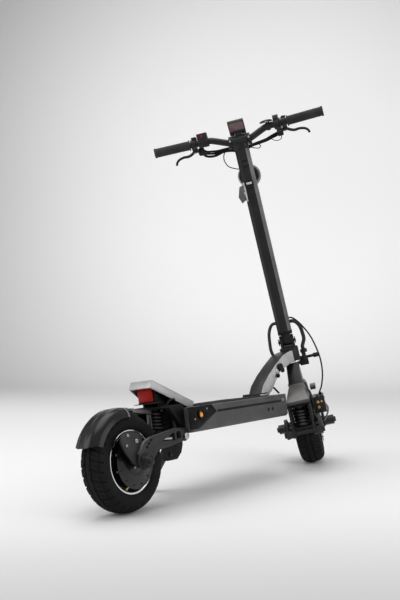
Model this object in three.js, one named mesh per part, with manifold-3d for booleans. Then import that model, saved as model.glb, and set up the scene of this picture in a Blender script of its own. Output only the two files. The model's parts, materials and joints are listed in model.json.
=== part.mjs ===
// Electric kick scooter with a folding stem and two sprung swing arms, parked on its side stand.
// Millimetres, +X forward, +Y left, +Z up. The chassis is drawn upright in its own frame, with x = 0 at the rear
// axle and z = 0 on the ground, and a group then leans it on the stand. The steering group's axes are forward,
// left and up along the steering axis, from the point where that axis meets the ground.
import * as THREE from 'three';
import { mergeVertices } from 'three/addons/utils/BufferGeometryUtils.js';
import Module from 'manifold-3d';

const wasm = await Module();
wasm.setup();

// ---- driving dimensions ----
const GAP = 0.3; // between pieces that touch
const WHEELBASE = 952.5;
const TRAIL = 38.1;
const RAKE = THREE.MathUtils.degToRad(11.88); // of the steering axis from vertical
const LEAN = THREE.MathUtils.degToRad(8.23); // to the left, on the stand
const STEER = THREE.MathUtils.degToRad(28.17); // bars turned to the left
const TYRE_R = 130;
const TYRE_HALF = 40;
const BEAD_R = 83.3;
const RIM_HALF = 33;
const DISC_R = 70;
const DISC_Y = -47;
const DISC_T = 2.4;
const AXLE_R = 7;
const SPIN_GAP = 0.5; // round a turning shaft
const ARM_IN = 70; // inner face of the rear arm's plates
const PLATE = 10; // thickness of both arms' plates
const KNOB_R = 16.5;
const KNOB_END = 103; // outer end of the axle nuts

const DECK_REAR = 194;
const DECK_FRONT = 694;
const DECK_HALF = 95;
const DECK_FLOOR = 180.5;
const DECK_RIM = 246.5; // top of the shell's walls
const WALL = 4.5;
const LID_T = 3;
const MAT_T = 3;
const CAP_T = 3; // plastic side caps
const CABLE_PORT_Z = 226; // where the cable from the neck enters the deck

const REAR_PIVOT = { x: 176, z: 174 };
const REAR_SPRING_X = 154;
const REAR_SPRING_R = 24;
const REAR_SPRING_Z = [195, 255];
const SPRING_WIRE = 10; // and how far the seats' guides stay inside it
const REAR_BAR = { x: [126, 172], z: [187, 194.7] };
const PIVOT_R = 6;
const BOSS_R = 15;

const KICK_TOP = { x: 110, z: 336, half: 39 }; // raised rear edge
const KICK_LOW = { x: 245, z: 264, half: 70 }; // front edge on the deck
const KICK_SKIN = 4;
const KICK_SKIRT = 24;

const STAND_PIVOT = { x: 272, y: 74, z: 118 };
const STAND_FOOT = { x: 243, y: 138 };
const STAND_LUG = 16; // thickness of the lug that hangs under the deck and carries the stand
const STAND_T = 12;

const HEAD_LOW = 364; // head tube, along the steering axis
const HEAD_HIGH = 404;
const HEAD_R = 32;
const STEERER_R = 17;
const NECK_HALF = 24;
const FOLD_AT = 433; // fold pin, along the steering axis
const FOLD_PIN_R = 5;
const CHEEK_R = 22;
const TONGUE_HALF = 15.6;
const STEM_LOW = 459;
const STEM_HIGH = 1108;
const STEM_HALF = 24;
const STEM_DEPTH = 26;
const STEM_CHAMFER = 11;
const BAR_AT = 1137; // handlebar clamp
const BAR_R = 11.1;
const BAR_END = { fwd: -16, left: 287, up: 1166 };
const GRIP_R = 16;
const GRIP_LENGTH = 118;
const CLAMP_R = 23;

const FRONT_AXLE = { x: -10.5, z: 135.1 };
const FRONT_PIVOT = { x: -205, z: 158 };
const FRONT_SPRING_X = -166;
const FRONT_SPRING_R = 28;
const FRONT_SPRING_Z = [171.5, 240];
const FRONT_BAR = { x: [-184, -152], z: [153, 171.2] };
const FRONT_ARM_IN = 50;
const CHEEK_IN = 30.3; // fork cheeks beside the front spring
const CHEEK_OUT = 38;

const LIGHT_AT = 1020; // headlight centre, along the stem
const LIGHT_R = 41;

// ---- materials ----
const finish = (color, roughness, metalness) => ({ color, roughness, metalness });
const GRAPHITE = finish(0x4b4c4f, 0.45, 0.8);
const SATIN_BLACK = finish(0x26272a, 0.5, 0.6);
const GLOSS_BLACK = finish(0x141416, 0.2, 0.1);
const MATT_BLACK = finish(0x1c1c1e, 0.8, 0.0);
const SILVER = finish(0xb9bbbe, 0.35, 0.8);
const WHITE = finish(0xd8d9da, 0.4, 0.3);
const STEEL = finish(0x9a9c9f, 0.35, 0.9);
const RUBBER = finish(0x1b1b1d, 0.9, 0.0);
const RED = finish(0xb01f16, 0.3, 0.0);
const AMBER = finish(0xd98a1e, 0.3, 0.0);
const CLEAR = finish(0xe8eef2, 0.1, 0.0);
const BLUE = finish(0x28538a, 0.7, 0.0);

// ---- solids ----
function solid(geometry) {
  const bare = geometry.index ? geometry.toNonIndexed() : geometry.clone();
  bare.deleteAttribute('normal');
  bare.deleteAttribute('uv');
  const merged = mergeVertices(bare, 1e-4);
  return new wasm.Manifold(new wasm.Mesh({
    numProp: 3,
    vertProperties: new Float32Array(merged.attributes.position.array),
    triVerts: new Uint32Array(merged.index.array),
  }));
}

function box(x, y, z) {
  const g = new THREE.BoxGeometry(x[1] - x[0], y[1] - y[0], z[1] - z[0]);
  return solid(g.translate((x[0] + x[1]) / 2, (y[0] + y[1]) / 2, (z[0] + z[1]) / 2));
}

// A round rod from a to b; a second radius makes it a cone.
function rod(a, b, radius, sides = 16, endRadius = radius) {
  const from = new THREE.Vector3(...a);
  const to = new THREE.Vector3(...b);
  const g = new THREE.CylinderGeometry(endRadius, radius, from.distanceTo(to), sides);
  const turn = new THREE.Quaternion().setFromUnitVectors(
    new THREE.Vector3(0, 1, 0), to.clone().sub(from).normalize());
  g.applyQuaternion(turn);
  const middle = from.add(to).multiplyScalar(0.5);
  return solid(g.translate(middle.x, middle.y, middle.z));
}

function rad(degrees) {
  return THREE.MathUtils.degToRad(degrees);
}

function outline(points) {
  return new THREE.Shape(points.map(([a, b]) => new THREE.Vector2(a, b)));
}

// A plate with its outline in x and z, from y[0] to y[1].
function sidePlate(points, y) {
  const g = new THREE.ExtrudeGeometry(outline(points), { depth: y[1] - y[0], bevelEnabled: false });
  return solid(g.rotateX(Math.PI / 2).translate(0, y[1], 0));
}

// A plate with its outline in x and y, from z[0] to z[1].
function flatPlate(points, z) {
  const g = new THREE.ExtrudeGeometry(outline(points), { depth: z[1] - z[0], bevelEnabled: false });
  return solid(g.translate(0, 0, z[0]));
}

// A plate with its outline in y and z, from x[0] to x[1].
function crossPlate(points, x) {
  const g = new THREE.ExtrudeGeometry(outline(points), { depth: x[1] - x[0], bevelEnabled: false });
  return solid(g.rotateX(Math.PI / 2).rotateZ(Math.PI / 2).translate(x[0], 0, 0));
}

// A turned piece: [radius, y] points about a line along y through (x, z).
function turned(points, sides = 32, x = 0, z = 0) {
  const g = new THREE.LatheGeometry(points.map(([r, y]) => new THREE.Vector2(r, y)), sides);
  return solid(g.translate(x, 0, z));
}

// A tube of the given radius along a smooth curve through the points.
function tube(points, radius, steps, sides = 8) {
  const curve = new THREE.CatmullRomCurve3(points.map((p) => new THREE.Vector3(...p)));
  const ring = new THREE.Shape();
  for (let i = 0; i < sides; i += 1) {
    const angle = (2 * Math.PI * i) / sides;
    const at = [radius * Math.cos(angle), radius * Math.sin(angle)];
    if (i === 0) ring.moveTo(...at);
    else ring.lineTo(...at);
  }
  return solid(new THREE.ExtrudeGeometry(ring, { steps, extrudePath: curve, bevelEnabled: false }));
}

function join(...parts) {
  return parts.reduce((all, one) => all.add(one));
}

function cut(body, ...tools) {
  return tools.reduce((all, one) => all.subtract(one), body);
}

function mirrored(points) {
  return points.map(([x, y, z]) => [x, -y, z]);
}

function mesh(name, look, body) {
  const { vertProperties, triVerts, numProp } = body.getMesh();
  const g = new THREE.BufferGeometry();
  const positions = new Float32Array((vertProperties.length / numProp) * 3);
  for (let i = 0; i < positions.length / 3; i += 1) {
    positions.set(vertProperties.subarray(i * numProp, i * numProp + 3), i * 3);
  }
  g.setAttribute('position', new THREE.BufferAttribute(positions, 3));
  g.setIndex(new THREE.BufferAttribute(new Uint32Array(triVerts), 1));
  g.computeVertexNormals();
  const m = new THREE.Mesh(g, new THREE.MeshStandardMaterial(look));
  m.name = name;
  return m;
}

// ---- wheels, about their own centre ----
const TYRE_OUTSIDE = [[TYRE_R, 9], [TYRE_R - 3, 23], [TYRE_R - 10, 33], [TYRE_R - 24, TYRE_HALF],
  [BEAD_R + 8, TYRE_HALF - 2], [BEAD_R, RIM_HALF]];

function tyre() {
  const right = TYRE_OUTSIDE.map(([r, y]) => [r, -y]).reverse();
  const inside = [[BEAD_R, RIM_HALF - 8], [TYRE_R - 26, TYRE_HALF - 8], [TYRE_R - 12, 0]];
  const insideRight = inside.slice(0, -1).map(([r, y]) => [r, -y]).reverse();
  const ring = [...right, ...TYRE_OUTSIDE, ...inside, ...insideRight];
  return turned([...ring, ring[0]], 32);
}

// The rim runs into the motor's drum; a boss on the right carries the brake disc.
function hub() {
  const rim = BEAD_R - GAP;
  const wellY = RIM_HALF - 9;
  const drum = turned([[0, -44], [22, -44], [22, -38], [40, -36], [44, -27], [68, -25], [76, -RIM_HALF],
    [rim, -RIM_HALF], [rim, -wellY], [rim - 8, -wellY + 4], [rim - 8, wellY - 4], [rim, wellY], [rim, RIM_HALF],
    [76, RIM_HALF], [68, 25], [44, 27], [40, 40], [0, 40]], 32);
  return cut(drum, rod([0, -60, 0], [0, 60, 0], AXLE_R + SPIN_GAP, 14));
}

function brakeDisc() {
  const y = [DISC_Y - DISC_T / 2, DISC_Y + DISC_T / 2];
  const plate = rod([0, y[0], 0], [0, y[1], 0], DISC_R, 30);
  const slots = [0, 1, 2, 3, 4].map((i) => {
    const angle = (2 * Math.PI * i) / 5;
    const at = [40 * Math.cos(angle), 40 * Math.sin(angle)];
    return rod([at[0], y[0] - 1, at[1]], [at[0], y[1] + 1, at[1]], 12, 10);
  });
  return cut(plate, ...slots, rod([0, -60, 0], [0, 0, 0], AXLE_R + SPIN_GAP, 14));
}

function wheel(prefix) {
  const group = new THREE.Group();
  group.add(mesh(`${prefix}_tyre`, RUBBER, tyre()));
  group.add(mesh(`${prefix}_motor_hub`, GLOSS_BLACK, hub()));
  group.add(mesh(`${prefix}_brake_disc`, STEEL, brakeDisc()));
  return group;
}

// Axle with a nut at each end, outside arm plates whose outer faces are at y = outer.
function axle(at, outer) {
  const seat = outer + GAP;
  const nut = (side) => join(
    rod([at.x, side * seat, at.z], [at.x, side * (seat + 4), at.z], KNOB_R + 3, 16),
    rod([at.x, side * (seat + 4), at.z], [at.x, side * (KNOB_END - 6), at.z], KNOB_R, 6),
    rod([at.x, side * (KNOB_END - 6), at.z], [at.x, side * KNOB_END, at.z], AXLE_R + 2, 12));
  return join(rod([at.x, -KNOB_END + 1, at.z], [at.x, KNOB_END - 1, at.z], AXLE_R, 14), nut(1), nut(-1));
}

// Bolt with two heads through a pivot, outside arm plates whose outer faces are at y = outer.
function pivotBolt(at, outer) {
  const seat = outer + GAP;
  const head = (side) => rod([at.x, side * seat, at.z], [at.x, side * (seat + 6), at.z], PIVOT_R + 4, 6);
  return join(rod([at.x, -seat - 5, at.z], [at.x, seat + 5, at.z], PIVOT_R, 16), head(1), head(-1));
}

// Caliper over the disc's edge: a body on both sides of the disc, with a round cap on the outside.
function caliper(axleAt, at, reach, outer) {
  const slotR = DISC_R + 2;
  const y = [outer, DISC_Y + 4.5];
  const body = join(
    rod([at.x, y[0] + 6, at.z], [at.x, y[1], at.z], reach, 20),
    rod([at.x, y[0], at.z], [at.x, y[0] + 6, at.z], reach - 7, 16));
  const slot = [DISC_Y - DISC_T / 2 - 1, DISC_Y + DISC_T / 2 + 1];
  return cut(body,
    rod([axleAt.x, slot[0], axleAt.z], [axleAt.x, slot[1], axleAt.z], slotR, 30),
    rod([axleAt.x, DISC_Y, axleAt.z], [axleAt.x, 0, axleAt.z], BEAD_R - 24, 24));
}

// A coil spring's outer shape, as a sleeve.
function spring(at, z, radius) {
  const inner = radius - SPRING_WIRE;
  const profile = [[inner, z[0]], [radius, z[0]], [radius, z[1]], [inner, z[1]], [inner, z[0]]];
  const g = new THREE.LatheGeometry(profile.map(([r, h]) => new THREE.Vector2(r, h)), 20);
  return solid(g.rotateX(Math.PI / 2).translate(at, 0, 0));
}

// ---- rear end ----
const REAR_ARM_SIDE = [[-18, 116], [0, 108], [20, 118], [56, 151], [107, 155], [166, 163], [176, 161], [188, 167],
  [191, 177], [186, 188], [176, 197], [137, 200], [84, 194], [30, 188], [2, 178], [-20, 150], [-24, 132]];
const REAR_ARM_WINDOWS = [[[73, 172], [130, 190], [130, 168]], [[138, 169], [138, 191], [156, 191], [158, 172]]];

function rearSwingArm() {
  const plates = [-1, 1].map((side) => {
    const y = [side * ARM_IN, side * (ARM_IN + PLATE)].sort((a, b) => a - b);
    const windows = REAR_ARM_WINDOWS.map((w) => sidePlate(w, [y[0] - 1, y[1] + 1]));
    return cut(sidePlate(REAR_ARM_SIDE, y), ...windows);
  });
  const bar = box(REAR_BAR.x, [-ARM_IN - 1, ARM_IN + 1], REAR_BAR.z);
  return cut(join(...plates, bar),
    rod([0, -120, TYRE_R], [0, 120, TYRE_R], AXLE_R + GAP, 14),
    rod([REAR_PIVOT.x, -120, REAR_PIVOT.z], [REAR_PIVOT.x, 120, REAR_PIVOT.z], PIVOT_R + GAP, 12));
}

const FENDER = { x: -11, z: 133, inner: 136, outer: 139 };
const FENDER_SECTION = [[27, TYRE_HALF + 4], [13, TYRE_HALF - 2], [4, TYRE_HALF - 12], [0, TYRE_HALF - 26]];

function arcPoints(centre, radius, from, to, count) {
  return Array.from({ length: count + 1 }, (_, i) => {
    const angle = from + ((to - from) * i) / count;
    return [centre.x + radius * Math.cos(angle), centre.z + radius * Math.sin(angle)];
  });
}

// A band between two radii and two angles, as a side outline.
function band(centre, inner, outer, from, to, count) {
  return [...arcPoints(centre, outer, from, to, count), ...arcPoints(centre, inner, to, from, count)];
}

// A guard over a wheel: its section is turned about a line along y, and kept between two angles from forward.
function guard(centre, section, from, to) {
  const ring = turned([...section, section[0]], 54, centre.x, centre.z);
  const sector = [[centre.x, centre.z], ...arcPoints(centre, 400, from, to, 8)];
  return ring.intersect(sidePlate(sector, [-100, 100]));
}

// The section's right half: how far each corner lies below the crown and how far from the middle.
function guardSection(inner, outer, corners) {
  const skin = outer - inner;
  const right = corners.map(([fall, y]) => [outer - fall, -y]);
  const rightIn = right.map(([r, y]) => [r - skin, y + skin * 0.8]);
  const left = right.map(([r, y]) => [r, -y]).reverse();
  const leftIn = rightIn.map(([r, y]) => [r, -y]);
  return [...right, ...left, ...leftIn, ...rightIn.reverse()];
}

function rearFender() {
  const { inner, outer } = FENDER;
  const shell = guard(FENDER, guardSection(inner, outer, FENDER_SECTION), rad(84), rad(159));
  // The tongue leaves the crown straight, then a stay goes down behind the spring to the arm's crossbar.
  const leave = rad(81);
  const front = REAR_SPRING_X - REAR_SPRING_R - 12;
  const line = (radius, x) => FENDER.z + (radius - (x - FENDER.x) * Math.cos(leave)) / Math.sin(leave);
  const strip = (x, top, bottom, y) => sidePlate([[x[0], line(top, x[0])], [x[1], line(top, x[1])],
    [x[1], line(bottom, x[1])], [x[0], line(bottom, x[0])]], y);
  const tongue = strip([0, front], outer, inner, [-17, 17]);
  const sides = [-1, 1].map((side) => strip([42, front], outer, inner - 7, [side * 14, side * 17].sort((a, b) => a - b)));
  const stay = box([front - 3, front], [-15, -1], [REAR_BAR.z[1] + GAP, line(inner, front) + 1]);
  const tab = box([front - 3, REAR_SPRING_X - REAR_SPRING_R - 1], [-15, -1],
    [REAR_BAR.z[1] + GAP, REAR_BAR.z[1] + 3.6]);
  return join(shell, tongue, ...sides, stay, tab);
}

function rearCaliper() {
  const at = { x: -16, z: 184 };
  const body = caliper({ x: 0, z: TYRE_R }, at, 27, -66);
  const y = [-ARM_IN + GAP, -64];
  const bracket = sidePlate([[-20, 118], [2, 112], [18, 124], [20, 150], [12, 178], [-4, 196], [-30, 212], [-66, 208],
    [-74, 186], [-62, 160], [-42, 136]], y);
  return cut(join(body, bracket), rod([0, -90, TYRE_R], [0, 0, TYRE_R], AXLE_R + 4.5 + GAP, 20));
}

function rearWheel() {
  const group = wheel('rear');
  group.position.set(0, 0, TYRE_R);
  return group;
}

function rearEnd() {
  const group = new THREE.Group();
  const axleAt = { x: 0, z: TYRE_R };
  group.add(mesh('rear_swing_arm', GRAPHITE, rearSwingArm()));
  group.add(mesh('rear_pivot_bolt', STEEL, pivotBolt(REAR_PIVOT, ARM_IN + PLATE)));
  group.add(mesh('rear_axle', SATIN_BLACK, axle(axleAt, ARM_IN + PLATE)));
  group.add(mesh('rear_fender', GLOSS_BLACK, rearFender()));
  group.add(mesh('rear_caliper', SATIN_BLACK, rearCaliper()));
  group.add(mesh('rear_spring', MATT_BLACK, spring(REAR_SPRING_X, REAR_SPRING_Z, REAR_SPRING_R)));
  group.add(rearWheel());
  return group;
}

// ---- deck ----
function deckShell() {
  const edge = 7;
  const side = [[-DECK_HALF, DECK_RIM], [-DECK_HALF, DECK_FLOOR + edge], [-DECK_HALF + edge, DECK_FLOOR],
    [DECK_HALF - edge, DECK_FLOOR], [DECK_HALF, DECK_FLOOR + edge], [DECK_HALF, DECK_RIM]];
  const tub = crossPlate(side, [DECK_REAR, DECK_FRONT]);
  const inside = box([DECK_REAR + WALL, DECK_FRONT - WALL], [-DECK_HALF + WALL, DECK_HALF - WALL],
    [DECK_FLOOR + WALL, DECK_RIM + 1]);
  const { x, z } = STAND_PIVOT;
  const lug = sidePlate([[x - 20, DECK_FLOOR + 1], [x - 20, z - 8], [x - 12, z - 17], [x + 30, z - 17], [x + 52, z],
    [x + 62, z + 22], [x + 66, DECK_FLOOR + 1]], [STAND_PIVOT.y - STAND_LUG, STAND_PIVOT.y]);
  const bore = rod([x, 0, z], [x, 120, z], PIVOT_R + GAP, 12);
  const outlet = rod([DECK_FRONT - 1, 0, CABLE_PORT_Z], [DECK_FRONT + 8, 0, CABLE_PORT_Z], 8, 20);
  const port = rod([560, DECK_HALF - WALL - 1, 215], [560, DECK_HALF + 1, 215], 9, 20);
  return cut(join(tub, lug, outlet), inside, bore, port);
}

const LID_BASE = DECK_RIM + GAP; // the lid rests on the shell's walls
const LID_TOP = LID_BASE + LID_T;

function deckLid() {
  return box([DECK_REAR, DECK_FRONT], [-DECK_HALF, DECK_HALF], [LID_BASE, LID_TOP]);
}

function deckMat() {
  return box([262, 606], [-86, 86], [LID_TOP + GAP, LID_TOP + GAP + MAT_T]);
}

function batteryPack() {
  const floor = DECK_FLOOR + WALL + GAP;
  return box([330, DECK_FRONT - WALL - 6], [-82, 82], [floor, floor + 54]);
}

function motorController() {
  const floor = DECK_FLOOR + WALL + GAP;
  return box([206, 318], [-72, 72], [floor, floor + 38]);
}

const SIDE_LIGHT = { x: 232.6, z: 226, r: 9 };

function rearCap(side) {
  const shape = [[181, LID_TOP], [286, LID_TOP], [309, 228.6], [226, 192], [214, DECK_FLOOR + 8], [181, DECK_FLOOR + 8]];
  const inner = DECK_HALF + GAP;
  const y = side > 0 ? [inner, inner + CAP_T] : [-inner - CAP_T, -inner];
  const window = rod([SIDE_LIGHT.x, y[0] - 1, SIDE_LIGHT.z], [SIDE_LIGHT.x, y[1] + 1, SIDE_LIGHT.z], SIDE_LIGHT.r, 20);
  return cut(sidePlate(shape, y), window);
}

function sideLight(side) {
  const inner = DECK_HALF + GAP;
  const r = SIDE_LIGHT.r - GAP;
  return rod([SIDE_LIGHT.x, side * inner, SIDE_LIGHT.z], [SIDE_LIGHT.x, side * (inner + CAP_T + 2.5), SIDE_LIGHT.z],
    r, 20, r - 2);
}

// Height of the kickplate's top face.
const KICK_SLOPE = (KICK_TOP.z - KICK_LOW.z) / (KICK_LOW.x - KICK_TOP.x);
const KICK_ANGLE = Math.atan(KICK_SLOPE);
const kickZ = (x) => KICK_TOP.z - KICK_SLOPE * (x - KICK_TOP.x);

function kickplate() {
  const length = (KICK_LOW.x - KICK_TOP.x) / Math.cos(KICK_ANGLE);
  const plan = (inset) => [[inset, -KICK_TOP.half + inset], [length - inset, -KICK_LOW.half + inset],
    [length - inset, KICK_LOW.half - inset], [inset, KICK_TOP.half - inset]];
  const tray = cut(flatPlate(plan(0), [-KICK_SKIRT, 0]), flatPlate(plan(KICK_SKIN), [-KICK_SKIRT - 1, -KICK_SKIN]));
  const placed = tray.transform([
    Math.cos(KICK_ANGLE), 0, -Math.sin(KICK_ANGLE), 0,
    0, 1, 0, 0,
    Math.sin(KICK_ANGLE), 0, Math.cos(KICK_ANGLE), 0,
    KICK_TOP.x, 0, KICK_TOP.z, 1]);
  return cut(placed, box([DECK_REAR - 20, 400], [-200, 200], [0, LID_TOP + GAP]));
}

const TAIL_LIGHT = { x: [117, 124], half: 25, z: [276, 314] };
const SEAT_Z = [REAR_SPRING_Z[1] + GAP, REAR_SPRING_Z[1] + 7];
const RIB_X = 141; // rear edge of the kickplate's ribs

function rearBracket() {
  const back = DECK_REAR - GAP;
  const under = (x) => kickZ(x) - (KICK_SKIN + GAP) / Math.cos(KICK_ANGLE);
  const rib = [[RIB_X, SEAT_Z[0]], [back, SEAT_Z[0]], [back, LID_TOP + GAP], [232, LID_TOP + GAP], [232, under(232)],
    [RIB_X, under(RIB_X)]];
  const lug = [[back - 1, 164], [back - 1, 190], [182, 187], [170, 186.2], [163, 178], [164, 167], [174, 161]];
  const gusset = [[back - 1, 205], [back - 1, SEAT_Z[0] + 1], [136, SEAT_Z[0] + 1], [136, SEAT_Z[0] - 5], [174, 206]];
  const cheeks = [-1, 1].map((side) => {
    const y = [side * 54, side * (ARM_IN - GAP)].sort((a, b) => a - b);
    return join(sidePlate(lug, y), sidePlate(gusset, y));
  });
  const ribs = [-1, 1].map((side) => sidePlate(rib, [side * 24, side * 30].sort((a, b) => a - b)));
  const backPlate = box([back - 5, back], [-ARM_IN + GAP, ARM_IN - GAP], [164, SEAT_Z[1]]);
  const seat = box([130, back], [-ARM_IN + GAP, ARM_IN - GAP], SEAT_Z);
  const guide = rod([REAR_SPRING_X, 0, 232], [REAR_SPRING_X, 0, SEAT_Z[0] + 1], REAR_SPRING_R - SPRING_WIRE - 1);
  const lamp = box([TAIL_LIGHT.x[1] + GAP, RIB_X + 1], [-TAIL_LIGHT.half - 4, TAIL_LIGHT.half + 4],
    [TAIL_LIGHT.z[0] - 4, Math.min(TAIL_LIGHT.z[1] + 2, under(RIB_X + 1) - 0.5)]);
  const tray = box([100, RIB_X + 1], [-20, 20], [271, 273.4]);
  const bores = [rod([REAR_PIVOT.x, -120, REAR_PIVOT.z], [REAR_PIVOT.x, 120, REAR_PIVOT.z], PIVOT_R + GAP, 12)];
  return cut(join(seat, backPlate, guide, ...cheeks, ...ribs, lamp, tray), ...bores);
}

function tailLightLens() {
  return box(TAIL_LIGHT.x, [-TAIL_LIGHT.half, TAIL_LIGHT.half], TAIL_LIGHT.z);
}

// ---- neck ----
const AXIS = new THREE.Vector3(-Math.sin(RAKE), 0, Math.cos(RAKE));
const onAxis = (along) => {
  const at = AXIS.clone().multiplyScalar(along);
  return [WHEELBASE + TRAIL + at.x, 0, at.z];
};

function neck() {
  const base = LID_TOP + GAP;
  const shape = [[658, base], [680, 283], [719, 314], [768, 345], [824, 376], [872, 388], [912, 390],
    [920, 350], [885, 352], [798, 324], [768, 300], [728, 262], [700, base]];
  const column = rod(onAxis(HEAD_LOW), onAxis(HEAD_HIGH), HEAD_R, 28);
  const foot = box([640, DECK_FRONT - 6], [-34, 34], [base, base + 6]);
  const web = sidePlate(shape, [-NECK_HALF, NECK_HALF]);
  const gland = rod([816, 0, 331.6], [802.4, 0, 317], 7.5, 12);
  const above = rod(onAxis(HEAD_HIGH), onAxis(HEAD_HIGH + 60), HEAD_R + 30);
  const below = rod(onAxis(HEAD_LOW - 60), onAxis(HEAD_LOW), HEAD_R + 2);
  const bore = rod(onAxis(HEAD_LOW - 20), onAxis(HEAD_HIGH + 20), STEERER_R + SPIN_GAP, 20);
  return cut(join(cut(web, above, below), column, foot, gland), bore);
}

function neckCable() {
  return tube([[802.2, 0, 316.8], [788, 0, 301.5], [762, 0, 276], [738, 0, 252], [722, 0, 236],
    [714, 0, CABLE_PORT_Z], [DECK_FRONT + 8 + GAP, 0, CABLE_PORT_Z]], 5, 18);
}

function chassis() {
  const group = new THREE.Group();
  group.add(mesh('deck_shell', GRAPHITE, deckShell()));
  group.add(mesh('deck_lid', GRAPHITE, deckLid()));
  group.add(mesh('deck_mat', RUBBER, deckMat()));
  group.add(mesh('battery_pack', BLUE, batteryPack()));
  group.add(mesh('motor_controller', STEEL, motorController()));
  group.add(mesh('rear_cap_right', GLOSS_BLACK, rearCap(-1)));
  group.add(mesh('rear_cap_left', GLOSS_BLACK, rearCap(1)));
  group.add(mesh('side_light_right', AMBER, sideLight(-1)));
  group.add(mesh('side_light_left', AMBER, sideLight(1)));
  group.add(mesh('rear_bracket', SATIN_BLACK, rearBracket()));
  group.add(mesh('kickplate', WHITE, kickplate()));
  group.add(mesh('tail_light_lens', RED, tailLightLens()));
  group.add(mesh('neck', SILVER, neck()));
  group.add(mesh('neck_cable', MATT_BLACK, neckCable()));
  return group;
}

// ---- steering: everything from the steerer down, in steering axes ----
function forkCrown() {
  const profile = [[-34, 357], [22, 357], [26, 330], [22, 300], [14, 294.8], [-42, 294.8], [-62, 286], [-86, 270],
    [-125, 250], [-140, 246], [-198, 246], [-206, 252], [-198, 262], [-84, 296]];
  const front = [[-20, 357], [-24, 292], [-CHEEK_OUT, 262], [-CHEEK_OUT, 240], [CHEEK_OUT, 240], [CHEEK_OUT, 262],
    [24, 292], [20, 357]];
  const body = sidePlate(profile, [-60, 60]).intersect(crossPlate(front, [-300, 100]));
  const cheek = [[-146, 248], [-204, 248], [-219, 168], [-219, 150], [-211, 144], [-199, 144], [-191, 152],
    [-190, 174], [-160, 215]];
  const cheeks = [-1, 1].map((side) => sidePlate(cheek, [side * CHEEK_IN, side * CHEEK_OUT].sort((a, b) => a - b)));
  const seat = rod([FRONT_SPRING_X, 0, FRONT_SPRING_Z[1] + GAP], [FRONT_SPRING_X, 0, 247], CHEEK_IN - 1, 24);
  const guide = rod([FRONT_SPRING_X, 0, 218], [FRONT_SPRING_X, 0, 247], FRONT_SPRING_R - SPRING_WIRE - 1);
  const steerer = rod([0, 0, 350], [0, 0, 414], STEERER_R, 20);
  const race = rod([0, 0, 352], [0, 0, HEAD_LOW - GAP], HEAD_R - 2, 24);
  const pivot = rod([FRONT_PIVOT.x, -80, FRONT_PIVOT.z], [FRONT_PIVOT.x, 80, FRONT_PIVOT.z], PIVOT_R + GAP, 12);
  return cut(join(body, seat, guide, steerer, race, ...cheeks), pivot);
}

function foldBase() {
  const low = HEAD_HIGH + GAP;
  const collar = rod([0, 0, low], [0, 0, 410], HEAD_R, 24);
  const block = box([-CHEEK_R, CHEEK_R], [-STEM_HALF, STEM_HALF], [409, 416]);
  const cheeks = [-1, 1].map((side) => {
    const y = [side * (TONGUE_HALF + GAP), side * STEM_HALF].sort((a, b) => a - b);
    return join(box([-CHEEK_R, CHEEK_R], y, [415, FOLD_AT]),
      rod([0, y[0], FOLD_AT], [0, y[1], FOLD_AT], CHEEK_R, 24));
  });
  const pin = rod([0, -STEM_HALF - 3, FOLD_AT], [0, STEM_HALF + 3, FOLD_AT], FOLD_PIN_R, 16);
  const socket = rod([0, 0, 400], [0, 0, 414 + GAP], STEERER_R + GAP, 20);
  return cut(join(collar, block, ...cheeks, pin), socket);
}

const LOCK = { x: 30, y: -27, z: 361 }; // lever pivot on the right of the crown

function lockBlock() {
  const lower = box([18, 42], [-56, -26.3], [336, 354]);
  const post = box([18, 23.5], [-52, -38], [340, 380]);
  const knob = rod([30, -47, 379], [30, -47, 390], 12, 20);
  const arm = box([26.4, 42], [-30, -21], [340, 352]);
  return join(lower, post, knob, arm);
}

function foldLever() {
  const shaft = rod([LOCK.x, LOCK.y - 5, LOCK.z], [LOCK.x, -78, LOCK.z], 5, 16);
  const hubPart = rod([LOCK.x, LOCK.y - 5, LOCK.z - 6.7], [LOCK.x, LOCK.y - 5, LOCK.z + 6], 6.2, 16);
  const knurl = rod([LOCK.x, -76, LOCK.z], [LOCK.x, -97, LOCK.z], 8, 12);
  return join(shaft, hubPart, knurl);
}

const FRONT_FENDER = { x: FRONT_AXLE.x, z: FRONT_AXLE.z, inner: 156, outer: 159 };

function frontFender() {
  const corners = [[9, 31], [3, 28], [0, 20]];
  const shell = guard(FRONT_FENDER, guardSection(FRONT_FENDER.inner, FRONT_FENDER.outer, corners), rad(38), rad(116));
  return cut(shell, box([-200, -36], [-CHEEK_OUT, CHEEK_OUT], [240, 310]));
}

function frontSwingArm() {
  const shape = [[-219, 166], [-214, 178], [-192, 204], [-172, 204], [-130, 182], [-60, 166], [-22, 158], [6, 150],
    [10, 134], [2, 118], [-14, 113], [-34, 118], [-120, 142], [-190, 146], [-206, 143], [-217, 150]];
  const sides = [-1, 1].map((side) => {
    const y = [side * FRONT_ARM_IN, side * (FRONT_ARM_IN + PLATE)].sort((a, b) => a - b);
    const boss = [side * (CHEEK_OUT + GAP), side * FRONT_ARM_IN];
    return join(sidePlate(shape, y),
      rod([FRONT_PIVOT.x, boss[0], FRONT_PIVOT.z], [FRONT_PIVOT.x, boss[1], FRONT_PIVOT.z], BOSS_R - 2, 20));
  });
  const bar = box(FRONT_BAR.x, [-FRONT_ARM_IN - 1, FRONT_ARM_IN + 1], FRONT_BAR.z);
  return cut(join(...sides, bar),
    rod([FRONT_AXLE.x, -120, FRONT_AXLE.z], [FRONT_AXLE.x, 120, FRONT_AXLE.z], AXLE_R + GAP, 14),
    rod([FRONT_PIVOT.x, -120, FRONT_PIVOT.z], [FRONT_PIVOT.x, 120, FRONT_PIVOT.z], PIVOT_R + GAP, 12));
}

const CALIPER_TOP = 240;

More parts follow.
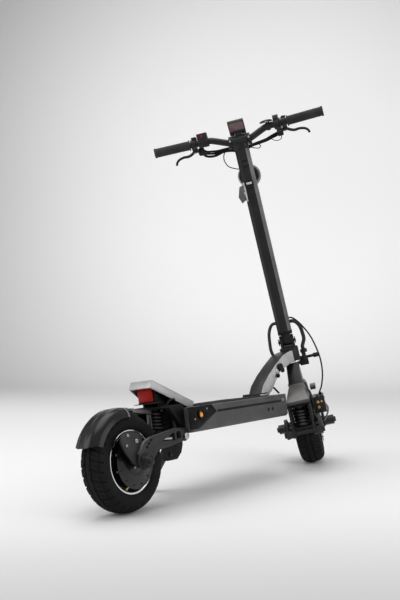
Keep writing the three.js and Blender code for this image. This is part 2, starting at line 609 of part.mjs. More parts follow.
function frontCaliper() {
  const at = { x: -62, z: 200 };
  const y = [-FRONT_ARM_IN - PLATE - GAP - 8, -FRONT_ARM_IN - PLATE - GAP];
  const slot = [DISC_Y - DISC_T / 2 - 1, DISC_Y + DISC_T / 2 + 1];
  const body = box([at.x - 30, at.x + 20], [-82, DISC_Y + 4], [184, CALIPER_TOP]);
  const hanger = sidePlate([[-98, 190], [-98, 168], [-60, 158], [-36, 160], [-36, 190]], y);
  return cut(join(body, hanger),
    rod([FRONT_AXLE.x, slot[0], FRONT_AXLE.z], [FRONT_AXLE.x, slot[1], FRONT_AXLE.z], DISC_R + 2, 30),
    rod([FRONT_AXLE.x, -FRONT_ARM_IN, FRONT_AXLE.z], [FRONT_AXLE.x, 0, FRONT_AXLE.z], 66, 24),
    box([-200, 40], [-FRONT_ARM_IN - PLATE - GAP, -FRONT_ARM_IN + GAP], [100, 184.5]),
    rod([FRONT_AXLE.x, DISC_Y + 2, FRONT_AXLE.z], [FRONT_AXLE.x, 0, FRONT_AXLE.z], TYRE_R + 2, 30));
}

function frontWheel() {
  const group = wheel('front');
  group.position.set(FRONT_AXLE.x, 0, FRONT_AXLE.z);
  return group;
}

function fork() {
  const group = new THREE.Group();
  group.add(mesh('fork_crown', SATIN_BLACK, forkCrown()));
  group.add(mesh('fold_base', SATIN_BLACK, foldBase()));
  group.add(mesh('lock_block', SATIN_BLACK, lockBlock()));
  group.add(mesh('fold_lever', SATIN_BLACK, foldLever()));
  group.add(mesh('front_fender', GLOSS_BLACK, frontFender()));
  group.add(mesh('front_spring', MATT_BLACK, spring(FRONT_SPRING_X, FRONT_SPRING_Z, FRONT_SPRING_R)));
  group.add(mesh('front_swing_arm', GRAPHITE, frontSwingArm()));
  group.add(mesh('front_pivot_bolt', STEEL, pivotBolt(FRONT_PIVOT, FRONT_ARM_IN + PLATE)));
  group.add(mesh('front_axle', SATIN_BLACK, axle(FRONT_AXLE, FRONT_ARM_IN + PLATE)));
  group.add(mesh('front_caliper', SATIN_BLACK, frontCaliper()));
  group.add(frontWheel());
  return group;
}

// ---- stem and handlebar, in steering axes ----
const HOOK_PIVOT = { x: -STEM_DEPTH - 9, z: 990 };
const HOOK_PIN_R = 4;
const STEM_SECTION = [[-STEM_DEPTH, STEM_HALF - STEM_CHAMFER], [-STEM_DEPTH + STEM_CHAMFER, STEM_HALF],
  [STEM_DEPTH - STEM_CHAMFER, STEM_HALF], [STEM_DEPTH, STEM_HALF - STEM_CHAMFER],
  [STEM_DEPTH, -STEM_HALF + STEM_CHAMFER], [STEM_DEPTH - STEM_CHAMFER, -STEM_HALF],
  [-STEM_DEPTH + STEM_CHAMFER, -STEM_HALF], [-STEM_DEPTH, -STEM_HALF + STEM_CHAMFER]];

function stemTube() {
  const walls = flatPlate([...STEM_SECTION].reverse(), [STEM_LOW, STEM_HIGH]);
  const hollow = rod([0, 0, STEM_LOW + 30], [0, 0, STEM_HIGH + 1], STEM_HALF - 4, 16);
  const tongue = join(box([-15, 15], [-TONGUE_HALF, TONGUE_HALF], [FOLD_AT, STEM_LOW + 1]),
    rod([0, -TONGUE_HALF, FOLD_AT], [0, TONGUE_HALF, FOLD_AT], 15, 20));
  const ear = (side) => box([-STEM_DEPTH - 15, -STEM_DEPTH + 1], [side * 12 - 2.5, side * 12 + 2.5],
    [HOOK_PIVOT.z - 8, HOOK_PIVOT.z + 8]);
  const plate = box([-STEM_DEPTH - 4, -STEM_DEPTH + 1], [-12, 12], [HOOK_PIVOT.z - 14, HOOK_PIVOT.z + 40]);
  const bores = join(
    rod([0, -40, FOLD_AT], [0, 40, FOLD_AT], FOLD_PIN_R + GAP),
    rod([HOOK_PIVOT.x, -40, HOOK_PIVOT.z], [HOOK_PIVOT.x, 40, HOOK_PIVOT.z], HOOK_PIN_R + GAP, 12));
  return cut(join(walls, tongue, plate, ear(-1), ear(1)), hollow, bores);
}

function stemHead() {
  const foot = STEM_HIGH + GAP;
  const post = rod([0, 0, foot], [0, 0, BAR_AT], STEM_HALF + 1, 20);
  const clamp = rod([0, -26, BAR_AT], [0, 26, BAR_AT], CLAMP_R, 20);
  const lugs = box([-CLAMP_R - 6, -CLAMP_R + 8], [-22, 22], [BAR_AT - 7, BAR_AT + 7]);
  const mount = box([-14, 8], [-12, 12], [BAR_AT + CLAMP_R - 4, BAR_AT + CLAMP_R + 6]);
  return cut(join(post, clamp, lugs, mount), rod([0, -60, BAR_AT], [0, 60, BAR_AT], BAR_R + 3 * GAP, 18));
}

const BAR_STRAIGHT = [-4, 102, BAR_END.up - 3]; // where the rise ends and the straight end starts
const BAR_ROUTE = [[0, 0, BAR_AT], [0, 15, BAR_AT], [0, 28, BAR_AT], [-1, 42, BAR_AT + 4], [-3, 84, BAR_AT + 21],
  BAR_STRAIGHT, [-6, 134, BAR_END.up - 2.5], [-11, 210, BAR_END.up - 1.3], [BAR_END.fwd, BAR_END.left, BAR_END.up]];

function handlebar() {
  const right = mirrored(BAR_ROUTE).slice(1).reverse();
  return tube([...right, ...BAR_ROUTE], BAR_R, 26, 10);
}

// A point on the bar's straight end, this far to the left of the middle (negative to the right).
function onBar(left) {
  const [a, b] = [BAR_STRAIGHT, BAR_ROUTE.at(-1)];
  const t = (Math.abs(left) - a[1]) / (b[1] - a[1]);
  return [a[0] + t * (b[0] - a[0]), left, a[2] + t * (b[2] - a[2])];
}

function sleeve(side, from, to, radius, sides = 12) {
  const a = onBar(side * from);
  const b = onBar(side * to);
  return cut(rod(a, b, radius, sides), rod(onBar(side * (from - 20)), onBar(side * (to + 20)), BAR_R + 3 * GAP, 12));
}

const GRIP_FROM = BAR_END.left - GRIP_LENGTH;

function grip(side) {
  const body = sleeve(side, GRIP_FROM, BAR_END.left - 1, GRIP_R);
  const flange = sleeve(side, GRIP_FROM, GRIP_FROM + 4, GRIP_R + 2.5);
  const end = rod(onBar(side * (BAR_END.left + 1)), onBar(side * (BAR_END.left + 6)), GRIP_R + 1, 12);
  const collar = cut(rod(onBar(side * (BAR_END.left - 6)), onBar(side * (BAR_END.left + 2)), GRIP_R + 1, 12),
    rod(onBar(side * (BAR_END.left - 20)), onBar(side * (BAR_END.left + 0.8)), BAR_R + 3 * GAP, 12));
  return join(body, flange, collar, end);
}

const CLAMP_FROM = 149.6; // brake clamps' inner end, along the bar
const LEVER_PIVOT = { x: 26, left: 156, z: 1149 };

// Split clamp round the bar, with a bracket that holds the lever's pivot ahead of it.
function brakeClamp(side) {
  const ring = sleeve(side, CLAMP_FROM, 166, 17);
  const body = box([2, 40], [side * CLAMP_FROM, side * 166].sort((a, b) => a - b), [1137, 1166]);
  const slotY = [side * 147, side * 175].sort((a, b) => a - b);
  const slot = box([LEVER_PIVOT.x - 9, 60], slotY, [LEVER_PIVOT.z - 6.5, LEVER_PIVOT.z + 5]);
  const bore = rod([LEVER_PIVOT.x, side * LEVER_PIVOT.left, 1130], [LEVER_PIVOT.x, side * LEVER_PIVOT.left, 1180],
    3 + GAP, 12);
  const clear = rod(onBar(side * 130), onBar(side * 190), BAR_R + 3 * GAP, 12);
  return cut(join(ring, body), slot, bore, clear);
}

function brakeLever(side) {
  const { x, left, z } = LEVER_PIVOT;
  const route = [[x, side * left, z], [x + 17, side * (left + 22), z - 3], [x + 25, side * (left + 52), z - 18],
    [x + 24, side * (left + 92), z - 33]];
  const blade = tube(route, 4.2, 8, 8);
  const eye = rod([x, side * left, z - 4.4], [x, side * left, z + 4.4], 7, 16);
  const pin = rod([x, side * left, z - 7.5], [x, side * left, z + 16.5], 3, 12);
  const tip = rod([x + 24, side * (left + 90), z - 32.6], [x + 24, side * (left + 97), z - 35], 6, 12);
  return join(blade, eye, pin, tip);
}

// Thumb throttle on the right: a ring on the bar with a drum whose lever hangs below.
function throttlePod() {
  const ring = sleeve(-1, 124, 143, 18);
  const drum = rod([-6, -124, 1180], [-6, -143, 1180], 14);
  const clear = rod(onBar(-100), onBar(-190), BAR_R + 3 * GAP, 12);
  return cut(join(ring, drum), clear);
}

// Ring round the bar with an arm and a thumb pad behind and below it.
function throttleLever() {
  const from = 144.6;
  const ring = sleeve(-1, from, from + 2.6, 18);
  const y = [-from - 2.6, -from];
  const arm = sidePlate([[-14, 1150], [-22, 1157], [-42, 1143], [-34, 1135]], y);
  const pad = box([-44, -32], [y[0], y[0] + 18], [1134, 1143]);
  return join(ring, arm, pad);
}

function switchPod() {
  const ring = sleeve(1, 104, 140, 17);
  const caseBox = box([-18, 16], [106, 140], [1163, 1194]);
  const well = rod([-19, 123, 1184], [-10, 123, 1184], 5.5 + GAP, 16);
  const clear = rod(onBar(80), onBar(190), BAR_R + 3 * GAP, 12);
  return cut(join(ring, caseBox), clear, well);
}

function hornButton() {
  return rod([-21, 123, 1184], [-13.5, 123, 1184], 5.5, 16);
}

function bell() {
  const cap = solid(new THREE.LatheGeometry([[0, 0], [13, 0], [12.4, 5], [10, 9.5], [6, 12.2], [0, 13]]
    .map(([r, h]) => new THREE.Vector2(r, h)), 16).rotateX(Math.PI / 2).translate(-4, -104, 1176));
  const ring = sleeve(-1, 98, 110, 15);
  const post = rod([-4, -104, 1172], [-4, -104, 1177], 5, 12);
  return cut(join(cap, ring, post), rod(onBar(-80), onBar(-130), BAR_R + 6 * GAP, 12));
}

function bellStriker() {
  return join(rod([-20, -104, 1174], [-20, -104, 1180], 2.6, 10), rod([-20, -104, 1177], [-27, -98, 1177], 2, 8));
}

const DISPLAY_TILT = rad(-32);

function displayCase() {
  const g = new THREE.BoxGeometry(13, 55, 50);
  const body = solid(g.rotateY(DISPLAY_TILT).translate(-16, 0, 1184));
  return cut(body, box([-15, 9], [-13, 13], [BAR_AT + CLAMP_R - 5, BAR_AT + CLAMP_R + 6 + GAP]),
    rod([0, -60, BAR_AT], [0, 60, BAR_AT], CLAMP_R + GAP, 20));
}

const LIGHT_BACK = STEM_DEPTH + GAP;

function headlightCase() {
  const shell = rod([LIGHT_BACK + 6, 0, LIGHT_AT], [LIGHT_BACK + 50, 0, LIGHT_AT], LIGHT_R - 8, 32, LIGHT_R);
  const bracket = box([LIGHT_BACK, LIGHT_BACK + 10], [-12, 12], [LIGHT_AT - 20, LIGHT_AT + 20]);
  const mouth = rod([LIGHT_BACK + 44, 0, LIGHT_AT], [LIGHT_BACK + 51, 0, LIGHT_AT], LIGHT_R - 4, 32);
  return cut(join(shell, bracket), mouth);
}

function headlightLens() {
  return rod([LIGHT_BACK + 44 + GAP, 0, LIGHT_AT], [LIGHT_BACK + 49, 0, LIGHT_AT], LIGHT_R - 4 - GAP, 32);
}

// Bail on the stem's back that catches the tail when the stem is down.
function stemHook() {
  const y = [16, 21];
  const loop = sidePlate([[-40, 996], [-30, 996], [-30, 948], [-34, 934], [-44, 930], [-50, 940], [-42, 944],
    [-39, 952]], y);
  const pin = rod([HOOK_PIVOT.x, -12, HOOK_PIVOT.z], [HOOK_PIVOT.x, y[0] + 1, HOOK_PIVOT.z], HOOK_PIN_R, 12);
  return join(loop, pin);
}

function stem() {
  const group = new THREE.Group();
  group.add(mesh('stem_tube', SATIN_BLACK, stemTube()));
  group.add(mesh('stem_head', SATIN_BLACK, stemHead()));
  group.add(mesh('handlebar', SATIN_BLACK, handlebar()));
  group.add(mesh('display_case', GLOSS_BLACK, displayCase()));
  group.add(mesh('grip_left', RUBBER, grip(1)));
  group.add(mesh('grip_right', RUBBER, grip(-1)));
  group.add(mesh('headlight_case', GLOSS_BLACK, headlightCase()));
  group.add(mesh('headlight_lens', CLEAR, headlightLens()));
  group.add(mesh('stem_hook', SILVER, stemHook()));
  group.add(mesh('throttle_pod', MATT_BLACK, throttlePod()));
  group.add(mesh('throttle_lever', MATT_BLACK, throttleLever()));
  group.add(mesh('switch_pod', MATT_BLACK, switchPod()));
  group.add(mesh('horn_button', RED, hornButton()));
  group.add(mesh('bell', MATT_BLACK, bell()));
  group.add(mesh('bell_striker', STEEL, bellStriker()));
  group.add(mesh('brake_clamp_left', MATT_BLACK, brakeClamp(1)));
  group.add(mesh('brake_clamp_right', MATT_BLACK, brakeClamp(-1)));
  group.add(mesh('brake_lever_left', SATIN_BLACK, brakeLever(1)));
  group.add(mesh('brake_lever_right', SATIN_BLACK, brakeLever(-1)));
  return group;
}

// ---- cables, in steering axes ----
function cables() {
  const group = new THREE.Group();
  const stemSide = STEM_HALF + 2 * GAP;
  const right = tube([[8, -stemSide, 497], [8, -34, 497], [12, -45, 489], [20, -54, 472], [29, -57, 448], [32, -57, 424],
    [30, -47, 402], [30, -47, 390 + GAP]], 6.5, 14);
  const left = tube([[-6, stemSide, 502], [-6, 34, 502], [-9, 44, 494], [-13, 54, 472], [-15, 57, 440], [-15, 59, 412],
    [-13, 53, 386], [-4, 45, 364], [0, 38, 356.5], [0, HEAD_R - 2 + GAP, 356]], 5.5, 18);
  const hose = tube([[-4, -stemSide, 512], [-4, -36, 509], [-5, -56, 486], [-8, -80, 440], [-8, -93, 390],
    [-10, -98, 345], [-18, -94, 300], [-42, -82, 264], [-58, -72, CALIPER_TOP + 9], [-58, -72, CALIPER_TOP + GAP]], 2.6, 26);
  group.add(mesh('cable_bundle_right', MATT_BLACK, right));
  group.add(mesh('cable_bundle_left', MATT_BLACK, left));
  group.add(mesh('front_brake_hose', MATT_BLACK, hose));
  group.add(mesh('bar_cables', MATT_BLACK, barCables()));
  return group;
}

// Left and right looms under the bar meet at the gland on the stem's front face.
function barCables() {
  const run = (side) => tube([[34, side * 140, 1136], [44, side * 112, 1120], [48, side * 76, 1108],
    [44, side * 40, 1098], [34, side * 8, 1088]], 6, 14);
  const gland = box([LIGHT_BACK, 42], [-15, 15], [1070, 1098]);
  return join(run(1), run(-1), gland);
}

// ---- side stand ----
// The foot is a pad that lies flat on the ground; foot is its underside's centre and up the ground's normal.
function kickstand(foot, up) {
  const y = [STAND_PIVOT.y + GAP, STAND_PIVOT.y + GAP + STAND_T];
  const { x, z } = STAND_PIVOT;
  const eye = rod([x, y[0], z], [x, y[1], z], BOSS_R, 24);
  const pin = rod([x, STAND_PIVOT.y - 20, z], [x, y[1] - 1, z], PIVOT_R, 16);
  const padTop = foot.clone().addScaledVector(up, 7);
  const pad = rod(foot.toArray(), padTop.toArray(), 15, 20);
  const splay = (foot.y - (y[0] + y[1]) / 2) / (z - foot.z);
  const blade = sidePlate([[x - 15, z], [foot.x - 11, padTop.z - 1], [foot.x + 11, padTop.z - 1], [x + 15, z]], y);
  const leg = blade.transform([1, 0, 0, 0, 0, 1, 0, 0, 0, -splay, 1, 0, 0, splay * z, 0, 1]);
  const side = box([x - 200, x + 200], [0, STAND_PIVOT.y + GAP], [0, 300]);
  return join(eye, pin, cut(join(leg, pad), side));
}

// ---- assembly ----
const chassisGroup = new THREE.Group(); // leans on the stand
const rakeGroup = new THREE.Group();
const steeringGroup = new THREE.Group();
chassisGroup.add(chassis(), rearEnd(), rakeGroup);
rakeGroup.position.set(WHEELBASE + TRAIL, 0, 0);
rakeGroup.rotation.y = -RAKE;
rakeGroup.add(steeringGroup);
steeringGroup.rotation.z = STEER;
steeringGroup.add(fork(), stem(), cables());

// Height of a tyre's lowest point, for its centre in the given group.
function tyreLow(group, centre) {
  const at = centre.clone().applyMatrix4(group.matrixWorld);
  const across = new THREE.Vector3(0, 1, 0).transformDirection(group.matrixWorld);
  const reach = TYRE_OUTSIDE.map(([r, y]) => r * Math.sqrt(1 - across.z ** 2) + y * Math.abs(across.z));
  return at.z - Math.max(...reach);
}

// The turned front wheel drops or lifts the head a little: pitch the chassis until both tyres touch the ground.
chassisGroup.rotation.x = -LEAN;
for (let i = 0; i < 6; i += 1) {
  chassisGroup.updateMatrixWorld(true);
  const rear = tyreLow(chassisGroup, new THREE.Vector3(0, 0, TYRE_R));
  const front = tyreLow(steeringGroup, new THREE.Vector3(FRONT_AXLE.x, 0, FRONT_AXLE.z));
  chassisGroup.position.z -= rear;
  chassisGroup.rotation.y += (front - rear) / WHEELBASE;
}
chassisGroup.updateMatrixWorld(true);

const toChassis = chassisGroup.matrixWorld.clone().invert();
const foot = new THREE.Vector3(STAND_FOOT.x, STAND_FOOT.y, 0).applyMatrix4(toChassis);
const up = new THREE.Vector3(0, 0, 1).transformDirection(toChassis);
chassisGroup.add(mesh('kickstand', SATIN_BLACK, kickstand(foot, up)));

// The origin is the middle of the whole box, on the ground.
const group = new THREE.Group();
group.add(chassisGroup);
group.updateMatrixWorld(true);
const bounds = new THREE.Box3().setFromObject(group, true);
const middle = bounds.getCenter(new THREE.Vector3());
group.position.set(-middle.x, -middle.y, -bounds.min.z);
group.updateMatrixWorld(true);

export default group;
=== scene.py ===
# %% [markdown]
# # An electric kick scooter, dressed in Blender
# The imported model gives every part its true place. This notebook keeps it as a skeleton and dresses it: moulded
# tyres, turned rims, wound springs, edges that catch the light, and a finish for every material. Each step says
# what the piece is on the real scooter and why it is made this way.

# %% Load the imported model
import json
import math

import bmesh
import bpy
from mathutils import Matrix, Vector


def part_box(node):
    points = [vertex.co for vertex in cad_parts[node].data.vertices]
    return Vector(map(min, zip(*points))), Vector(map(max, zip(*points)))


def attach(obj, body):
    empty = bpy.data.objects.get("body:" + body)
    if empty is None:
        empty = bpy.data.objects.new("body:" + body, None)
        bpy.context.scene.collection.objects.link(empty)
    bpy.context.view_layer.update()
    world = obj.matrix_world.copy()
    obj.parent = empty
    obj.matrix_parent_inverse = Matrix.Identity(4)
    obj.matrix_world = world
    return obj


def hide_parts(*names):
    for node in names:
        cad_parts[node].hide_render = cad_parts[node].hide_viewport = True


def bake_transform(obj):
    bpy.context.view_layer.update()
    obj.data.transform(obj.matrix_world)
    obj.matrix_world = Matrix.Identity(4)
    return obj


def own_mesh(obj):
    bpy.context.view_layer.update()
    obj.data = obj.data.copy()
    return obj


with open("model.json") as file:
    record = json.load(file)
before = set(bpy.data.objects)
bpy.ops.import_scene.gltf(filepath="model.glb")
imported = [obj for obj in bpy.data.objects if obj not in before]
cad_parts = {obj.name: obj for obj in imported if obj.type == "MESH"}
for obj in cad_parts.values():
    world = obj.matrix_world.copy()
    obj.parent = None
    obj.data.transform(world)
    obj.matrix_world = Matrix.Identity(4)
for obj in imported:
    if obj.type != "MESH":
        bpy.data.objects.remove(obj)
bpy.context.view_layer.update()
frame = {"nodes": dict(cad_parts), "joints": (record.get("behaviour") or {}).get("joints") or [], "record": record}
MM = 0.001

# %% [markdown]
# A scooter on its stand leans, and its bars are turned, so straight lines on it are slanted in the room. It is
# far easier to think in its own directions: forward, left and up for the chassis, and the same three for the
# steering. The joints say where those are, because a wheel's axle points left and the head tube points up.

# %% Directions of the chassis and of the steering
joints = {joint["name"]: joint for joint in frame["joints"]}
body_of = {node: body for body, nodes in frame["record"]["behaviour"]["bodies"].items() for node in nodes}


def axis_of(joint):
    return Vector(joints[joint]["axis"]).normalized()


def point_of(joint):
    return Vector(joints[joint]["pos_m"]) / MM


def placed(origin, forward, left):
    """Matrix from millimetres along forward, left and up to metres in the model's frame."""
    up = forward.cross(left)
    turn = Matrix((forward, left, up)).transposed().to_4x4()
    return Matrix.Scale(MM, 4) @ Matrix.Translation(origin) @ turn


AXLE_HIGH = 130.0
ARM = (176.0, 44.0)  # from the rear axle to the rear arm's pivot: forward and up
chassis_left = axis_of("rear_wheel_spin")
arm_line = point_of("rear_suspension") - point_of("rear_wheel_spin")
turned_line = chassis_left.cross(arm_line)
chassis_forward = (ARM[0] * arm_line + ARM[1] * turned_line).normalized()
chassis_up = chassis_forward.cross(chassis_left)
CHASSIS = placed(point_of("rear_wheel_spin") - AXLE_HIGH * chassis_up, chassis_forward, chassis_left)

FOLD_AT = 433.0  # fold pin, up the steering axis
steering_up = axis_of("steering_turn")
steering_left = -axis_of("stem_fold")
steering_forward = steering_left.cross(steering_up)
STEERING = placed(point_of("stem_fold") - FOLD_AT * steering_up, steering_forward, steering_left)

FRONT_AXLE = (-10.5, 0.0, 135.1)
WHEELS = {
    "rear": CHASSIS @ Matrix.Translation((0.0, 0.0, AXLE_HIGH)),
    "front": STEERING @ Matrix.Translation(FRONT_AXLE)}
SIDES = ((-1, "right"), (1, "left"))
lean = math.degrees(math.acos(chassis_up.z))
print(f"the chassis leans {lean:.1f} degrees")

# %% [markdown]
# ## The studio
# The camera stands low behind the scooter's right rear corner with a portrait lens, so the long deck runs away
# from it. Its place is counted from the rear wheel, which keeps it right if the model's origin moves.

# %% Camera
rear_low, rear_high = (Vector(corner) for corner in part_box("rear_tyre"))
rear_centre = (rear_low + rear_high) / 2
CAMERA_FROM_WHEEL = Vector((-1.7425, -1.5458, 0.4033))
CAMERA_YAW = math.radians(36.58)
CAMERA_PITCH = math.radians(0.52)
PORTRAIT_LENS = 53.2
FARTHEST = 60


def linked(name, data):
    """A new object in the scene."""
    piece = bpy.data.objects.new(name, data)
    bpy.context.scene.collection.objects.link(piece)
    return piece


camera_data = bpy.data.cameras.new("camera")
camera_data.lens = PORTRAIT_LENS
camera_data.clip_end = FARTHEST
camera = linked("camera", camera_data)
camera.location = rear_centre + CAMERA_FROM_WHEEL
look = Vector((
    math.cos(CAMERA_PITCH) * math.cos(CAMERA_YAW),
    math.cos(CAMERA_PITCH) * math.sin(CAMERA_YAW),
    math.sin(CAMERA_PITCH)))
camera.rotation_euler = look.to_track_quat("-Z", "Y").to_euler()
bpy.context.scene.camera = camera
bpy.context.scene.view_settings.view_transform = "Standard"
print("camera at", [round(value, 3) for value in camera.location])

# %% [markdown]
# ## Shader maths as Python
# A material's nodes are a formula drawn as boxes. This small class wraps a socket so that the formula can be
# written as one: `dust * 0.4 + 0.2` adds the Math nodes by itself. Colours go through Mix nodes.


# %% A socket with operators
class Value:
    def __init__(self, tree, socket):
        self.tree = tree
        self.socket = socket


for sign, operation in (("add", "ADD"), ("sub", "SUBTRACT"), ("mul", "MULTIPLY")):
    setattr(Value, f"__{sign}__", lambda a, b, kind=operation: a.tree.maths(kind, a, b))
    setattr(Value, f"__r{sign}__", lambda a, b, kind=operation: a.tree.maths(kind, b, a))


class Tree:
    """A node tree whose nodes are added with their settings and inputs in one call."""

    def __init__(self, tree):
        self.nodes = tree.nodes
        self.links = tree.links

    def feed(self, node, socket, value):
        target = node.inputs[socket]
        if isinstance(value, Value):
            self.links.new(value.socket, target)
        else:
            target.default_value = value

    def add(self, kind, settings=None, inputs=None, output=0):
        node = self.nodes.new(kind)
        for key, value in (settings or {}).items():
            setattr(node, key, value)
        for socket, value in (inputs or {}).items():
            self.feed(node, socket, value)
        return Value(self, node.outputs[output])

    def maths(self, operation, *values):
        return self.add("ShaderNodeMath", {"operation": operation}, dict(enumerate(values)))


class Shader(Tree):
    """One material: its principled shader, and the textures that it needs."""

    def __init__(self, name, colour, roughness, metallic=0.0, **fixed):
        self.material = bpy.data.materials.new(name)
        self.material.use_nodes = True
        super().__init__(self.material.node_tree)
        self.skin = self.nodes["Principled BSDF"]
        self.feed(self.skin, "Base Color", (*colour, 1.0))
        self.feed(self.skin, "Roughness", roughness)
        self.feed(self.skin, "Metallic", metallic)
        for socket, value in fixed.items():
            self.feed(self.skin, socket.replace("_", " "), value)

    def place(self, coordinates="Object", scale=(1, 1, 1), turn=(0, 0, 0)):
        """Where on the piece a point is, in metres, squeezed by scale."""
        where = self.add("ShaderNodeTexCoord", output=coordinates)
        return self.add("ShaderNodeMapping", inputs={"Vector": where, "Scale": scale, "Rotation": turn})

    def noise(self, size, detail=3.0, where=None):
        """Cloudy values round 0.5, with blobs of about this size in millimetres."""
        return self.add("ShaderNodeTexNoise", inputs={
            "Vector": where or self.place(), "Scale": 1 / (size * MM), "Detail": detail})

    def step(self, value, low, high):
        """0 below low, 1 above high, and a smooth ramp between them."""
        return self.add("ShaderNodeMapRange", {"interpolation_type": "SMOOTHSTEP"}, {
            "Value": value, "From Min": low, "From Max": high})

    def mix(self, factor, first, second):
        node = self.nodes.new("ShaderNodeMix")
        node.data_type = "RGBA"
        for index, value in ((0, factor), (6, first), (7, second)):
            if isinstance(value, tuple):
                value = (*value, 1.0)
            self.feed(node, index, value)
        return Value(self, node.outputs[2])

    def colour(self, value):
        self.feed(self.skin, "Base Color", value)

    def rough(self, value):
        self.feed(self.skin, "Roughness", value)

    def bump(self, height, depth, strength=0.6):
        """Raise the surface by height, where 1 is this depth in millimetres."""
        bumped = self.add("ShaderNodeBump", inputs={
            "Height": height, "Distance": depth * MM, "Strength": strength})
        self.feed(self.skin, "Normal", bumped)


# %% [markdown]
# ## The finishes
# Most of the scooter is black, and black only reads as a shape through how it shines. So the blacks differ in
# roughness: glossy fenders, satin tubes with a fine powder-coat grain, and dull rubber with a little dust.


# %% Paints and bare metal
def painted(name, colour, roughness, grain=0.5, metallic=0.0, coat=0.0, uneven=0.08, **fixed):
    """Sprayed paint: a fine orange-peel grain, and cloudy changes in how it shines."""
    shader = Shader(name, colour, roughness, metallic, Coat_Weight=coat, **fixed)
    cloud = shader.noise(45, 4)
    shader.rough(cloud * (2 * uneven) + (roughness - uneven))
    lighter = tuple(channel * 1.3 + 0.002 for channel in colour)
    shader.colour(shader.mix(shader.step(cloud, 0.35, 0.7), colour, lighter))
    shader.bump(shader.noise(0.7, 2), 0.05, grain)
    return shader.material


def brushed(name, colour, roughness, along=(0.02, 1, 1)):
    """Bare metal with fine lines left by the machine."""
    shader = Shader(name, colour, roughness, 1.0)
    lines = shader.noise(0.6, 2, shader.place(scale=along))
    shader.rough(lines * 0.22 + (roughness - 0.11))
    darker = tuple(channel * 0.82 for channel in colour)
    shader.colour(shader.mix(lines, darker, colour))
    shader.bump(lines, 0.03, 0.35)
    return shader.material


graphite = painted("graphite_paint", (0.068, 0.0675, 0.067), 0.42, 0.35, metallic=0.35)
satin_black = painted("satin_black", (0.011, 0.0108, 0.011), 0.38, 0.4, metallic=0.1, Specular_IOR_Level=0.3)
# Pale metallic grey; on the stem it is a painted highlight streak.
pale_metal_and_stem_highlight = painted("pale_metal_and_stem_highlight", (0.13, 0.127, 0.125), 0.3, 0.3, metallic=0.6)
matt_black = painted("matt_black", (0.010, 0.0098, 0.010), 0.6, 0.8, Specular_IOR_Level=0.3)
# Near-black for black parts, and also painted shade under the deck and in holes, slots and recesses.
black_and_painted_shade = painted("black_and_painted_shade", (0.0035, 0.0035, 0.0038), 0.5, 0.4, Specular_IOR_Level=0.2)
arm_grey = painted("arm_grey", (0.021, 0.0205, 0.020), 0.42, 0.5, metallic=0.2, Specular_IOR_Level=0.35)
# Pale grey; on the swing arms' top faces it is a painted highlight.
pale_grey_and_arm_highlight = painted("pale_grey_and_arm_highlight", (0.15, 0.15, 0.152), 0.36, 0.3, metallic=0.6)
# Grey; on the fork's sloping back it is a painted highlight.
fork_grey_and_highlight = painted("fork_grey_and_highlight", (0.115, 0.11, 0.105), 0.42, 0.4, metallic=0.3)
neck_grey = painted("neck_grey", (0.016, 0.016, 0.0158), 0.36, 0.4, metallic=0.3, Specular_IOR_Level=0.35)
neck_silver = painted("neck_silver", (0.50, 0.505, 0.51), 0.3, 0.25, metallic=0.6)
plate_white = painted("plate_white", (0.31, 0.31, 0.312), 0.32, 0.25, metallic=0.3)
gloss_black = painted("gloss_black", (0.0065, 0.0065, 0.007), 0.24, 0.12, coat=0.05, uneven=0.05,
                      Specular_IOR_Level=0.22)
motor_black = painted("motor_black", (0.005, 0.005, 0.0055), 0.26, 0.15, coat=0.15, uneven=0.06,
                      Specular_IOR_Level=0.3)
cap_black = painted("cap_black", (0.003, 0.003, 0.0035), 0.22, 0.1, uneven=0.03, Specular_IOR_Level=0.12)
spring_black = painted("spring_black", (0.008, 0.008, 0.009), 0.3, 0.3, coat=0.2)
steel = brushed("bare_steel", (0.56, 0.57, 0.58), 0.3)
ring_silver = brushed("ring_silver", (0.86, 0.87, 0.88), 0.22)
gold_screw = brushed("gold_screw", (0.72, 0.48, 0.2), 0.3)

# %% [markdown]
# Rubber is never quite black: it scatters a little light, and dust sits in the tread. Each rubber gets the same
# base with its own grain, and the sand-blasted grip tape is many tiny grains stuck side by side.


# %% Rubber, grip tape and braid
def rubbery(name, colour, dusty, grain_size, grain_depth, roughness=0.78):
    shader = Shader(name, colour, roughness, Specular_IOR_Level=0.14)
    dust = shader.step(shader.noise(60, 5), 0.42, 0.72)
    shader.colour(shader.mix(dust, colour, dusty))
    shader.rough(dust * 0.12 + roughness)
    shader.bump(shader.noise(grain_size, 3), grain_depth)
    return shader.material


tyre_rubber = rubbery("tyre_rubber", (0.008, 0.008, 0.0083), (0.016, 0.0155, 0.015), 0.9, 0.12)
hand_rubber = rubbery("hand_rubber", (0.034, 0.033, 0.033), (0.05, 0.05, 0.05), 0.6, 0.1, 0.66)
mat_rubber = rubbery("mat_rubber", (0.02, 0.02, 0.021), (0.045, 0.044, 0.043), 1.4, 0.2)
hose_rubber = rubbery("hose_rubber", (0.008, 0.008, 0.0085), (0.013, 0.013, 0.013), 0.8, 0.04, 0.5)


def gritty():
    shader = Shader("grip_tape", (0.11, 0.11, 0.112), 0.9)
    grit = shader.add("ShaderNodeTexVoronoi", inputs={"Vector": shader.place(), "Scale": 1 / (0.9 * MM)})
    shader.colour(shader.mix(shader.step(grit, 0.1, 0.6), (0.24, 0.24, 0.243), (0.09, 0.09, 0.092)))
    shader.bump(1 - grit, 0.4, 0.9)
    return shader.material


